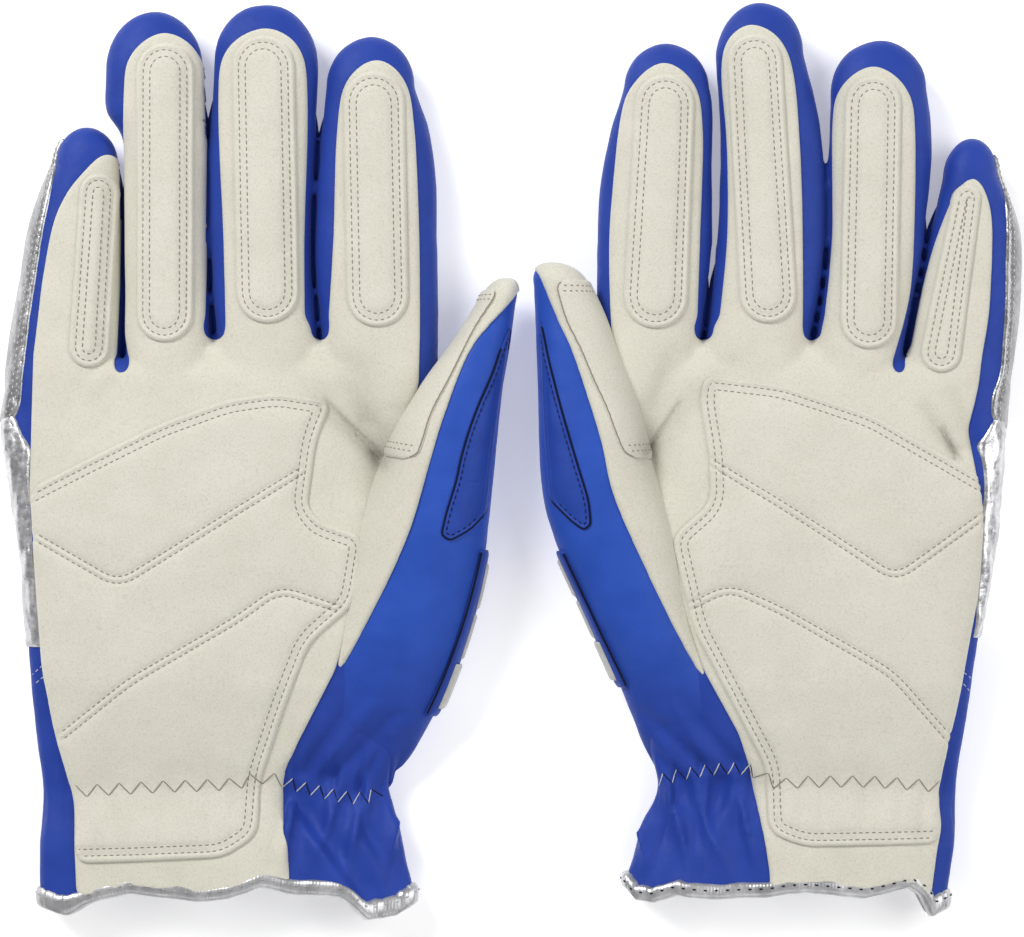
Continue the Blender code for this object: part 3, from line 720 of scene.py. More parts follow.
def drape(loop, surface, lift, rows=(), channels=(), puff=0.0, spacing=1.5, sewn_loop=None,
          folds=()):
    """A cut piece of suede laid on a surface: vertices and faces, with its cut edge turned down.

    Its stitch rows keep their distance from `sewn_loop` where that isn't the piece's own edge.
    """
    loop = closed_line(loop)
    sewn_loop = loop if sewn_loop is None else closed_line(sewn_loop)
    rings = (0.3, 0.75, 1.25, *rows, *(r + 0.55 for r in rows), 5.2) if rows else (0.4, 0.9, 1.6)
    points = [loop, offset_loop(loop, 0.4), offset_loop(loop, 0.9)]
    near_edge = [offset_loop(sewn_loop, d) for d in sorted(rings)]
    clear = offset_loop(loop, 1.2)
    points += [ring[inside(clear, ring)] if sewn_loop is not loop else ring for ring in near_edge]
    low, high = loop.min(0), loop.max(0)
    across = np.arange(low[0], high[0], spacing)
    along = np.arange(low[1], high[1], spacing * 0.866)
    gx, gy = np.meshgrid(across, along)
    gx = gx + (np.arange(len(along)) % 2)[:, None] * spacing / 2
    grid = np.column_stack([gx.ravel(), gy.ravel()])
    grid = grid[inside(loop, grid)]
    grid = grid[distance_to(grid, sewn_loop) > max(rings) + 0.5 * spacing]
    grid = grid[distance_to(grid, loop) > 0.9 + 0.5 * spacing]
    lines = [resampled(np.asarray(line, float), SAMPLE) for line in channels]
    folds = [np.array(ends, float) for ends in folds]
    fine = [(line, loop, 2.8, CHANNEL_STRIPS) for line in lines]
    fine += [(resampled(ends, SAMPLE), clear, 2.2, FOLD_STRIPS) for ends in folds]
    for line, bounds, room, shifts in fine:
        grid = grid[distance_to(grid, line) > room]
        strips = [beside(line, shift) for shift in shifts]
        points += [strip[inside(bounds, strip)] for strip in strips]
    points.append(grid)
    flat = np.vstack(points)
    edges = [(k, (k + 1) % len(loop)) for k in range(len(loop))]
    made = delaunay_2d_cdt([Vector(p) for p in flat], edges, [], 1, 0.02)
    flat = np.array([tuple(v) for v in made[0]])
    faces = [tuple(f) for f in made[2]]
    edge_gap = distance_to(flat, dense_outline(loop))
    height = lift - 0.45 * hill(edge_gap, 0.45)
    seam_gap = edge_gap.copy() if rows else np.full(len(flat), 9.0)
    sewn_gap = distance_to(flat, dense_outline(sewn_loop))
    for row in rows:
        height -= STITCH_SINK * hill(sewn_gap - row, 0.42)
        seam_gap = np.minimum(seam_gap, np.abs(sewn_gap - row))
    for line in lines:
        gap = distance_to(flat, resampled(line, DENSE))
        height -= STITCH_SINK * hill(gap - ROW_GAP / 2, 0.45)
        seam_gap = np.minimum(seam_gap, np.abs(gap - ROW_GAP / 2))
    height += puff * (1 - np.exp(-seam_gap / PUFF_REACH))
    for ends in folds:
        height -= FOLD_SINK * hill(distance_to(flat, resampled(ends, DENSE)), 0.6)
    verts = dropped(surface, flat, height)
    return with_skirt(verts, faces, lift + 0.5)


def with_skirt(verts, faces, drop):
    """Adds a short wall under every open edge."""
    count = {}
    for face in faces:
        for k, a in enumerate(face):
            b = face[(k + 1) % len(face)]
            count[(min(a, b), max(a, b))] = count.get((min(a, b), max(a, b)), []) + [(a, b)]
    open_edges = [pairs[0] for pairs in count.values() if len(pairs) == 1]
    rim = sorted({k for edge in open_edges for k in edge})
    below = {k: len(verts) + n for n, k in enumerate(rim)}
    lowered = verts[rim] - (0, 0, drop)
    walls = [(b, a, below[a], below[b]) for a, b in open_edges]
    return np.vstack([verts, lowered]), faces + walls


def around(tube, stations, degrees, surface, lift=0.0):
    """Points over a tube, laid on the surface that covers it, `lift` off along its normal."""
    stations, degrees, lift = np.broadcast_arrays(
        np.asarray(stations, float), np.asarray(degrees, float), np.asarray(lift, float))
    outer = tube.point(stations, degrees, 9.0).reshape(-1, 3)
    inner = tube.point(stations, degrees).reshape(-1, 3)
    out = np.empty((outer.shape[0], 3))
    for k, (start, end, up) in enumerate(zip(outer, inner, lift.ravel(), strict=True)):
        toward = Vector(end - start).normalized()
        hit, normal, _, _ = surface.ray_cast(Vector(start), toward)
        if hit is None:
            hit, normal, _, _ = surface.find_nearest(Vector(start))
        if normal.dot(toward) > 0:
            normal = -normal
        out[k] = hit + (normal - toward).normalized() * up
    return out.reshape(*stations.shape, 3)


def edge_angles(tube, stations, line):
    """The angle round the palm side of a tube at which a line of the plan crosses each station."""
    line = smooth_line(line, 0.3)
    index = np.arange(tube.count)
    angles = []
    for station in stations:
        centre = np.array([np.interp(station, index, tube.centres[:, k]) for k in (0, 1)])
        width = np.array([np.interp(station, index, tube.widths[:, k]) for k in (0, 1)])
        size = np.linalg.norm(width)
        across = width / size
        along = np.array([-across[1], across[0]])
        offsets = line - centre
        near = np.argmin(np.abs(offsets @ along))
        share = np.clip((offsets[near] @ across) / size, -0.985, 0.985)
        angles.append(math.degrees(math.acos(math.copysign(abs(share) ** (1 / tube.power), share))))
    return np.array(angles)


def wrapped(tube, stations, low, high, lift, across=16, relief=None, surface=None):
    """A layer wrapped on a tube between two angles, with thickness under its edges."""
    stations = np.asarray(stations, float)
    low, high = np.broadcast_to(low, len(stations)), np.broadcast_to(high, len(stations))
    share = np.linspace(0, 1, across)
    angles = low[:, None] + (high - low)[:, None] * share[None]
    rows = stations[:, None] + 0 * angles
    rim = np.minimum(np.minimum(share, 1 - share)[None] * across,
                     np.minimum(np.arange(len(stations)), np.arange(len(stations))[::-1])[:, None])
    thick = lift - TUCK * hill(rim, 0.8)
    if surface is None:
        verts = tube.point(rows, angles, thick).reshape(-1, 3)
        under = tube.point(rows, angles, -TUCK).reshape(-1, 3)
    else:
        verts = around(tube, rows, angles, surface, thick).reshape(-1, 3)
        under = around(tube, rows, angles, surface, -TUCK).reshape(-1, 3)
    if relief is not None:
        direction = verts - under
        direction /= np.linalg.norm(direction, axis=1)[:, None] + 1e-9
        verts = verts + direction * relief(verts)[:, None]
    faces = []
    for r in range(len(stations) - 1):
        for k in range(across - 1):
            a = r * across + k
            faces.append((a, a + 1, a + across + 1, a + across))
    count = len(verts)
    edge = [*range(across), *range(2 * across - 1, count, across),
            *range(count - 2, count - across - 1, -1), *range(count - 2 * across, 0, -across)]
    low_ids = {k: count + n for n, k in enumerate(edge)}
    walls = [(edge[(n + 1) % len(edge)], k, low_ids[k], low_ids[edge[(n + 1) % len(edge)]])
             for n, k in enumerate(edge)]
    return np.vstack([verts, under[edge]]), faces + walls


def stitch_row(path, surface, pitch=STITCH_PITCH, length=STITCH_LENGTH, radius=STITCH_RADIUS):
    """Small sunken thread loops along a line on the surface."""
    path = np.asarray(path, float)
    steps = np.linalg.norm(np.diff(path, axis=0), axis=1)
    run = np.r_[0, np.cumsum(steps)]
    middles = np.arange(pitch / 2, run[-1], pitch)
    hits = np.searchsorted(run, middles) - 1
    middles = middles[steps[np.clip(hits, 0, len(steps) - 1)] < 2.0]
    ends = []
    for shift in (-length / 2, length / 2):
        at = middles + shift
        flat = np.column_stack([np.interp(at, run, path[:, k]) for k in range(2)])
        ends.append(dropped(surface, flat, 0.0))
    return threads(ends[0], ends[1], radius)


def threads(starts, ends, radius, sides=6):
    """Short thick threads between pairs of points, arched and tucked in at their ends."""
    verts, faces = [], []
    shares = ((0.0, 0.35, -0.9), (0.22, 1.0, 0.15), (0.5, 1.1, 0.4), (0.78, 1.0, 0.15),
              (1.0, 0.35, -0.9))
    angles = np.arange(sides) * 2 * math.pi / sides
    for a, b in zip(starts, ends, strict=True):
        run = b - a
        size = np.linalg.norm(run)
        if not 0.2 < size < 12:
            continue
        along = run / size
        side = np.cross(along, (0, 0, 1))
        side /= np.linalg.norm(side) + 1e-9
        up = np.cross(side, along)
        first = len(verts)
        for share, thick, rise in shares:
            middle = a + run * share + up * radius * rise
            ring = (np.cos(angles)[:, None] * side + np.sin(angles)[:, None] * up) * radius * thick
            verts.extend(middle + ring)
        faces += ring_faces(len(shares), sides, first)
    return np.array(verts).reshape(-1, 3), faces


def dashes(line, length, radius, pitch=2):
    """Threads of one length along a 3-D line, one to every `pitch` lengths."""
    path = resampled(line, length)
    return threads(path[:-1:pitch], path[1::pitch], radius)


def joined(parts):
    """One vertex array and face list from several."""
    verts, faces = [], []
    start = 0
    for part_verts, part_faces in parts:
        verts.append(np.asarray(part_verts).reshape(-1, 3))
        faces.extend(tuple(k + start for k in face) for face in part_faces)
        start += len(part_verts)
    return np.vstack(verts), faces


def loop_rod(centres, radius, sides=8):
    """A round rod along a line of 3-D points."""
    centres = np.asarray(centres, float)
    if np.isscalar(radius):
        apart = np.linalg.norm(np.diff(centres, axis=0), axis=1) > 1e-3
        centres = centres[np.r_[True, apart]]
    tangent = np.gradient(centres, axis=0)
    tangent /= np.linalg.norm(tangent, axis=1)[:, None] + 1e-9
    side = np.cross(tangent, (0, 0, 1))
    side /= np.linalg.norm(side, axis=1)[:, None] + 1e-9
    up = np.cross(side, tangent)
    angles = np.arange(sides) * 2 * math.pi / sides
    rings = (centres[:, None] + radius * (np.cos(angles)[None, :, None] * side[:, None]
                                          + np.sin(angles)[None, :, None] * up[:, None]))
    return rings.reshape(-1, 3), capped_faces(len(centres), sides)


# ---- pieces divided at the digits -------------------------------------------------------------
def place(glove, name, verts, faces, look, slot, replaces=(), normals=None, still=True):
    """Makes one object in the frame from a glove's own coordinates; a still one rides on the hand."""
    name = f"{glove.side}_{name}"
    order = faces if glove.mirror > 0 else [tuple(reversed(face)) for face in faces]
    mesh = bpy.data.meshes.new(name)
    mesh.from_pydata([tuple(v) for v in glove.to_world(verts)], [], order)
    mesh.materials.append(LOOKS[look])
    mesh.polygons.foreach_set("use_smooth", np.ones(len(mesh.polygons), bool))
    # suede pieces carry painted shade for the palm's folds, as the 'fold' attribute
    if look in ("suede", "suede_patch"):
        painted_shade_layer = mesh.attributes.new("fold", "FLOAT", "POINT")
        painted_shade_layer.data.foreach_set("value", glove.painted_fold_shade(np.asarray(verts, float)))
    if normals is not None:
        mesh.normals_split_custom_set_from_vertices(
            [tuple(n) for n in np.asarray(normals) * (glove.mirror, 1, 1)])
    item = add_object(name, mesh)
    if still:
        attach(item, f"{glove.side}_hand_body")
    if replaces:
        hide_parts(*(f"{glove.side}_{node}" for node in replaces))
    return item


def digit_cuts(digit):
    """Where a piece is divided: at the hand, and half way along the first length."""
    start = -8.0 if digit.name == "thumb" else 0.0
    return start, digit.middle * 0.52


def articulate(glove, name, verts, faces, look, digits, slot, replaces=()):
    """Divides a layer at the digits, into the part on the hand and two lengths on each digit.

    `replaces` gives the CAD nodes that each part of the layer stands for.
    """
    replaces = dict(replaces)
    built = bmesh.new()
    corners = [built.verts.new(tuple(v)) for v in verts]
    for face in faces:
        try:
            built.faces.new([corners[k] for k in face])
        except ValueError:
            continue
    plans = [glove.digits[d] for d in digits]

    def owners(built):
        centre = np.array([f.calc_center_median()[:2] for f in built.faces])
        owner = np.full(len(centre), -1)
        best = np.full(len(centre), 1e9)
        length = np.zeros(len(centre))
        for k, digit in enumerate(plans):
            u, v = digit.uv(centre)
            tube_middle, half = glove.reach_across(digit.name, v)
            tip = digit.uv(glove.tubes[digit.name].centres[-1:, :2])[1][0]
            gap = np.abs(u - tube_middle) - half + np.maximum(v - tip - 1.5, 0)
            limit = 60.0 if digit.name == "thumb" else 4.0
            mine = (v > digit_cuts(digit)[0]) & (gap < limit) & (gap < best)
            owner[mine], best[mine], length[mine] = k, gap[mine], v[mine]
        return owner, length

    for k, digit in enumerate(plans):
        for cut in digit_cuts(digit):
            built.faces.ensure_lookup_table()
            centre = np.array([f.calc_center_median()[:2] for f in built.faces])
            u, v = digit.uv(centre)
            tube_middle, half = glove.reach_across(digit.name, v)
            limit = 60.0 if digit.name == "thumb" else 3.0
            near = np.nonzero((np.abs(v - cut) < 4) & (np.abs(u - tube_middle) - half < limit))[0]
            geometry = set()
            for n in near:
                face = built.faces[n]
                geometry.add(face)
                geometry.update(face.edges)
                geometry.update(face.verts)
            at = digit.xy(0.0, cut)
            bmesh.ops.bisect_plane(built, geom=list(geometry), dist=1e-4, plane_co=(*at, 0),
                                   plane_no=(*digit.forward, 0))
    built.normal_update()
    built.verts.index_update()
    built.faces.ensure_lookup_table()
    owner, length = owners(built)
    coordinates = np.array([v.co[:] for v in built.verts])
    normals = np.array([v.normal[:] for v in built.verts])
    groups = {}
    for n, face in enumerate(built.faces):
        k = owner[n]
        part = "hand" if k < 0 else (
            f"{plans[k].name}_root" if length[n] < digit_cuts(plans[k])[1] else f"{plans[k].name}_end")
        groups.setdefault(part, []).append([v.index for v in face.verts])
    built.free()
    for part, members in sorted(groups.items()):
        used = np.unique(np.concatenate([np.array(m) for m in members]))
        lookup = {old: new for new, old in enumerate(used)}
        piece_faces = [tuple(lookup[k] for k in m) for m in members]
        item = place(glove, f"{name}_{part}", coordinates[used], piece_faces, look, slot,
                     replaces.get(part, ()), normals[used], part == "hand")
        if part != "hand":
            bend(glove, item, *part.rsplit("_", 1))


def bend(glove, item, digit_name, part):
    """Works out a digit's two bodies and the span between them, but only bakes the finished piece's
    placement into its mesh.
    """
    digit = glove.digits[digit_name]
    base, tip = (f"{glove.side}_{digit_name}_{end}_body" for end in ("base", "tip"))
    start, half_way = digit_cuts(digit)
    if part == "root":
        bodies, run = (f"{glove.side}_hand_body", base), (start, min(13.0, half_way - 1))
    else:
        bodies, run = (base, tip), (digit.middle - 10, digit.middle + 10)
    ends = [glove.to_world((*digit.xy(0.0, v), 10.0)) for v in run]
    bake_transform(item)


# ---- materials --------------------------------------------------------------------------------
class Look:
    """A small helper that builds a procedural material on object coordinates, in millimetres."""

    def __init__(self, name, **sockets):
        self.material = bpy.data.materials.new(name)
        self.material.use_nodes = True
        self.tree = self.material.node_tree
        self.shader = self.tree.nodes["Principled BSDF"]
        for socket, value in sockets.items():
            self.shader.inputs[socket.replace("_", " ")].default_value = value
        coordinates = self.tree.nodes.new("ShaderNodeTexCoord")
        self.millimetres = self.tree.nodes.new("ShaderNodeMapping")
        self.millimetres.inputs["Scale"].default_value = (1 / MM,) * 3
        self.link(coordinates.outputs["Object"], self.millimetres.inputs["Vector"])
        self.normal = None

    def link(self, output, target):
        self.tree.links.new(output, target)

    def node(self, kind, **settings):
        made = self.tree.nodes.new(kind)
        for key, value in settings.items():
            if key in made.inputs:
                made.inputs[key].default_value = value
            else:
                setattr(made, key, value)
        return made

    def noise(self, size, detail=3.0, rough=0.5, stretch=(1, 1, 1)):
        """Noise whose features are about `size` millimetres."""
        mapping = self.node("ShaderNodeMapping", Scale=stretch)
        self.link(self.millimetres.outputs[0], mapping.inputs["Vector"])
        made = self.node("ShaderNodeTexNoise", Scale=1 / size, Detail=detail, Roughness=rough)
        self.link(mapping.outputs[0], made.inputs["Vector"])
        return made.outputs["Fac"]

    def weave(self, pitch, angle):
        """Fine parallel ribs at an angle in the plane."""
        mapping = self.node("ShaderNodeMapping", Rotation=(0, 0, math.radians(angle)))
        self.link(self.millimetres.outputs[0], mapping.inputs["Vector"])
        made = self.node("ShaderNodeTexWave", Scale=2 * math.pi / 20 / pitch, Distortion=0.6)
        self.link(mapping.outputs[0], made.inputs["Vector"])
        return made.outputs["Fac"]

    def cells(self, size):
        made = self.node("ShaderNodeTexVoronoi", Scale=1 / size, feature="DISTANCE_TO_EDGE")
        self.link(self.millimetres.outputs[0], made.inputs["Vector"])
        return made.outputs["Distance"]

    def along_y(self, low, high):
        """0 to 1 as y goes from low to high, in millimetres."""
        split = self.node("ShaderNodeSeparateXYZ")
        self.link(self.millimetres.outputs[0], split.inputs[0])
        made = self.node("ShaderNodeMapRange", interpolation_type="SMOOTHSTEP")
        made.inputs["From Min"].default_value, made.inputs["From Max"].default_value = low, high
        self.link(split.outputs["Y"], made.inputs["Value"])
        return made.outputs["Result"]

    def math(self, operation, a, b):
        made = self.node("ShaderNodeMath", operation=operation)
        for k, value in enumerate((a, b)):
            if isinstance(value, (int, float)):
                made.inputs[k].default_value = value
            else:
                self.link(value, made.inputs[k])
        return made.outputs[0]

    def ramp(self, value, *stops):
        """Colours or greys over a value: each stop is (position, colour)."""
        made = self.node("ShaderNodeValToRGB")
        elements = made.color_ramp.elements
        while len(elements) < len(stops):
            elements.new(0.5)
        for element, (position, colour) in zip(elements, stops, strict=True):
            element.position = position
            element.color = (*colour, 1) if len(colour) == 3 else (colour[0],) * 3 + (1,)
        self.link(value, made.inputs["Fac"])
        return made.outputs["Color"]

    def mixed(self, factor, a, b):
        made = self.node("ShaderNodeMix", data_type="RGBA")
        self.link(factor, made.inputs["Factor"])
        for socket, value in (("A", a), ("B", b)):
            target = next(s for s in made.inputs if s.name == socket and s.type == "RGBA")
            if isinstance(value, tuple):
                target.default_value = (*value, 1)
            else:
                self.link(value, target)
        return next(s for s in made.outputs if s.type == "RGBA")

    def colour(self, output):
        self.link(output, self.shader.inputs["Base Color"])

    def roughness(self, output):
        self.link(output, self.shader.inputs["Roughness"])

    def bump(self, height, millimetres, strength=1.0):
        made = self.node("ShaderNodeBump", Strength=strength, Distance=millimetres * MM)
        self.link(height, made.inputs["Height"])
        if self.normal is not None:
            self.link(self.normal, made.inputs["Normal"])
        self.normal = made.outputs[0]
        self.link(self.normal, self.shader.inputs["Normal"])


def suede(name, tint=(1.0, 1.0, 1.0)):
    """Brushed microfibre suede: mottled, speckled and with a soft pile, and painted shade in the palm's
    folds.
    """
    look = Look(name, Roughness=0.92, Sheen_Weight=0.22, Sheen_Roughness=0.5, Specular_IOR_Level=0.18)

    def shade(r, g, b):
        return (r * tint[0], g * tint[1], b * tint[2])

    base = look.ramp(look.noise(14, 4, 0.6), (0.3, shade(0.585, 0.565, 0.475)),
                     (0.7, shade(0.665, 0.645, 0.555)))
    speck = look.ramp(look.noise(0.55, 4, 0.75), (0.28, shade(0.39, 0.37, 0.30)),
                      (0.47, shade(0.62, 0.60, 0.51)), (0.75, shade(0.74, 0.72, 0.64)))
    cloth = look.mixed(look.ramp(look.noise(3.2, 3), (0.2, (0.35,)), (0.8, (0.65,))), base, speck)
    # painted shade: the 'fold' attribute darkens the colour towards this dark tone in the palm's folds
    fold = look.math("MULTIPLY", look.node("ShaderNodeAttribute", attribute_name="fold").outputs["Fac"],
                     look.ramp(look.noise(0.8, 4, 0.7), (0.3, (0.35,)), (0.7, (0.8,))))
    look.colour(look.mixed(fold, cloth, shade(0.26, 0.245, 0.20)))
    look.roughness(look.ramp(look.noise(2.0), (0.0, (0.86,)), (1.0, (0.99,))))
    look.bump(look.noise(0.45, 5, 0.75), 0.10, 0.75)
    look.bump(look.noise(1.7, 3, 0.6, (1.0, 0.55, 1.0)), 0.16, 0.5)
    look.bump(look.noise(7, 3), 0.35, 0.5)
    return look.material


def blue_fabric(name, dark=1.0, sky=1.0, wrist=None):
    """Royal blue coated synthetic with a fine slanting grid; dark and sky change it past the wrist."""
    look = Look(name, Roughness=0.6, Sheen_Weight=0.10, Sheen_Roughness=0.4, Specular_IOR_Level=0.26)
    tone = look.ramp(look.noise(11, 3), (0.3, (0.0095 * dark, 0.039 * dark * sky, 0.285 * dark)),
                     (0.7, (0.0135 * dark, 0.048 * dark * sky, 0.330 * dark)))
    if wrist is not None:
        plain = look.ramp(look.noise(11, 3), (0.3, (0.0095, 0.039, 0.285)), (0.7, (0.0135, 0.048, 0.33)))
        tone = look.mixed(look.along_y(*wrist), plain, tone)
    thread = look.math("MULTIPLY", look.weave(0.55, 38), look.weave(0.55, -52))
    fleck = look.ramp(look.noise(0.8, 4, 0.7), (0.64, (0.0,)), (0.78, (0.42,)))
    pale = (0.05 * dark, 0.10 * dark, 0.44 * dark)
    grid = look.mixed(look.ramp(thread, (0.45, (0.0,)), (1.0, (0.26,))), tone, pale)
    look.colour(look.mixed(fleck, grid, pale))
    look.roughness(look.ramp(look.noise(1.5, 3), (0.2, (0.5,)), (0.8, (0.68,))))
    look.bump(thread, 0.05, 0.45)
    look.bump(look.noise(0.9, 3), 0.08, 0.5)
    look.bump(look.noise(4.5, 3), 0.42, 0.5)
    return look.material


def silver_leather(name, bright=1.0):
    """Foil-coated leather, crinkled where it flexes, with painted shade in the crinkles' hollows and
    painted highlight on their ridges.
    """
    look = Look(name, Roughness=0.34, Metallic=0.82, Coat_Weight=0.25, Coat_Roughness=0.22)
    creased = look.math("ADD", look.noise(4.2, 3, 0.5, (1.5, 0.5, 1.0)), look.noise(1.6, 3, 0.5))
    tones = [(0.50, 0.46), (0.62, 0.60), (0.78, 0.78)]
    # painted shade and highlight: the colour follows the bump's crinkles, darker in the hollows and
    # lighter on the ridges
    look.colour(look.ramp(look.math("MULTIPLY", creased, 0.6),
                          *((at, (bright * c, bright * c, bright * c * 1.03)) for at, c in tones)))
    look.roughness(look.ramp(look.noise(1.6, 4), (0.3, (0.24,)), (0.8, (0.46,))))
    look.bump(look.cells(2.3), 0.12, 0.3)
    look.bump(creased, 0.4, 0.5)
    look.bump(look.noise(0.35, 3), 0.05, 0.5)
    return look.material


def binding_tape(name):
    """Shiny grey stretch tape, ribbed across and puckered by its stitching."""
    look = Look(name, Roughness=0.34, Metallic=0.7, Coat_Weight=0.2, Coat_Roughness=0.25)
    look.colour(look.ramp(look.noise(6.0, 3, 0.5, (1.6, 0.8, 1.0)), (0.3, (0.40, 0.40, 0.41)),
                          (0.55, (0.52, 0.52, 0.53)), (0.75, (0.66, 0.66, 0.67))))
    look.roughness(look.ramp(look.noise(2.5, 3), (0.3, (0.26,)), (0.7, (0.46,))))
    look.bump(look.weave(0.9, 4), 0.05, 0.4)
    look.bump(look.noise(3.2, 3, 0.5, (2.0, 0.7, 1.0)), 0.22, 0.5)
    return look.material


def thread_look(name, colour, shine=0.35):
    """Twisted polyester sewing thread."""
    look = Look(name, Roughness=0.6, Sheen_Weight=0.7 * shine, Specular_IOR_Level=shine)
    dim = tuple(0.62 * c for c in colour)
    look.colour(look.mixed(look.weave(0.16, 30), colour, dim))
    look.bump(look.weave(0.16, 30), 0.04, 0.6)
    return look.material


def moulded_rubber(name, colour):
    """Soft moulded badge rubber, slightly grainy and rubbed lighter on its high spots."""
    look = Look(name, Roughness=0.48)
    pale = tuple(min(1.0, 1.25 * c) for c in colour)
    look.colour(look.mixed(look.ramp(look.noise(1.8, 4), (0.45, (0.0,)), (0.75, (0.7,))), colour, pale))
    look.roughness(look.ramp(look.noise(0.9, 3), (0.2, (0.40,)), (0.8, (0.60,))))
    look.bump(look.noise(0.3, 3), 0.03, 0.5)
    return look.material


LOOKS = {
    "suede": suede("palm_suede"),
    "suede_patch": suede("patch_suede", (1.01, 1.01, 1.02)),
    "blue": blue_fabric("blue_fabric"),
    "blue_coated": blue_fabric("blue_thumb", 1.34, 1.2, (-80.0, -40.0)),
    "blue_dark": blue_fabric("blue_overlay", 1.04, 1.1),
    "silver": silver_leather("silver_leather"),
    "silver_lit": silver_leather("silver_leather_lit", 1.0),
    "guard": silver_leather("guard_leather", 0.70),
    # the left glove's guard: the same leather dimmed from 0.70 to 0.56, painted shade
    "guard_dim": silver_leather("guard_leather_dim", 0.56),
    "tape": binding_tape("binding_tape"),
    "taupe": thread_look("taupe_thread", (0.31, 0.275, 0.215)),
    "grey": thread_look("grey_thread", (0.5, 0.5, 0.5)),
    "white": thread_look("white_thread", (0.72, 0.71, 0.68)),
    # dark blue thread, which also stands in for shade on the zigzag legs that slant down to the right on
    # the blue: painted shade
    "navy": thread_look("navy_thread", (0.005, 0.007, 0.035), 0.08),
    "rubber": moulded_rubber("badge_rubber", (0.50, 0.50, 0.475)),
}


# ---- the gloves -------------------------------------------------------------------------------
def stall_nodes(names, suffix=""):
    """The CAD nodes that the two lengths of a layer stand for on each digit."""
    return {f"{name}_{part}": [f"{name}_{node}{suffix}"]
            for name in names for part, node in (("root", "base"), ("end", "tip"))}


def capsule_outline(top, bottom, width, taper=0.0):
    """A long outline with round ends, from its top to its bottom; taper narrows the top."""
    top, bottom = np.array(top, float), np.array(bottom, float)
    along = (bottom - top) / np.linalg.norm(bottom - top)
    across = np.array([-along[1], along[0]])
    high, low = width / 2 * (1 - taper), width / 2
    arc = np.linspace(-math.pi / 2, math.pi / 2, 13)[:, None]
    upper = top + along * high - along * high * np.cos(arc) - across * high * np.sin(arc)
    lower = bottom - along * low + along * low * np.cos(arc) + across * low * np.sin(arc)
    return closed_line(np.vstack([upper, lower]))


def palm_outline(plan):
    """The suede palm with the fronts of the four fingers, notched at each crotch."""
    points = list(plan["palm_left"])
    for k, name in enumerate(FINGERS):
        points += [tuple(p) for p in smooth_line(plan["suede"][name], 2.2)]
        if k < 3:
            x, y, half = plan["crotches"][k]
            points += [(x + half * across, y + up) for across, up in CROTCH_SHAPE]
    points += plan["palm_right"]
    cuff = np.array(plan["cuff"])
    low, high = plan["palm_left"][0][0], plan["palm_right"][-1][0]
    points += [(x, np.interp(x, *cuff.T) - 0.4) for x in np.arange(high, low, -2.5)]
    return rounded(points, 2.0)


def build_skin(glove):
    """The skin: a fused hand and fingers, open at the cuff, with a lining."""
    tubes = [glove.hand, *(glove.tubes[name] for name in FINGERS), *glove.web_tubes()]
    verts, faces = fused(tubes, glove.relief)
    centre = np.array([verts[list(f)].mean(0) for f in faces])
    kept = [f for f, c in zip(faces, centre, strict=True) if c[1] > glove.cuff_line(c[0]) + 0.6]
    item = temporary(verts, kept)
    wall = item.modifiers.new("lining", "SOLIDIFY")
    wall.thickness, wall.offset = LINING, -1
    lined, _, lined_faces = evaluated(item)
    nodes = stall_nodes(FINGERS) | {"hand": ["back_panel"]}
    articulate(glove, "skin", lined, lined_faces, "blue", FINGERS, "blue_synthetic", nodes)
    return verts, faces


def build_thumb(glove):
    """The thumb, a tube of its own that is sewn into the side of the hand."""
    verts, faces = glove.tubes["thumb"].mesh(56)
    item = temporary(verts, [tuple(reversed(face)) for face in faces])
    fine = item.modifiers.new("fine", "SUBSURF")
    fine.levels = fine.render_levels = 1
    verts, normals, faces = evaluated(item)
    soft = 0.3 * wrinkle(verts, 14, 3) + 0.12 * wrinkle(verts, 5, 4)
    wrist = 1 - ease(-70, -50, verts[:, 1])
    push = soft * (1 - wrist) + wrist * glove.relief(verts, normals)
    verts = verts + normals * push[:, None]
    nodes = stall_nodes(("thumb",)) | {"hand": ["thumb_gusset"]}
    articulate(glove, "thumb", verts, faces, "blue_coated", ("thumb",), "blue_synthetic", nodes)
    return verts, faces


def build_suede(glove, skin_tree):
    """The suede palm with the fronts of the fingers, and the strip along the inside of the thumb."""
    palm = drape(palm_outline(glove.plan), skin_tree, SUEDE_LIFT, folds=glove.plan["fold_lines"])
    articulate(glove, "suede", *palm, "suede", FINGERS, "suede", {"hand": ["palm_panel"]})
    thumb = glove.tubes["thumb"]
    stations = np.r_[np.arange(6.0, thumb.count - 10, 0.75),
                     np.linspace(thumb.count - 10, thumb.count - 1.15, 26)]
    edge = edge_angles(thumb, stations, glove.plan["thumb_suede"])
    strip = wrapped(thumb, stations, edge, np.full(len(stations), 212.0), SUEDE_LIFT, 30)
    articulate(glove, "thumb_suede", *strip, "suede", ("thumb",), "suede")
    return palm, strip


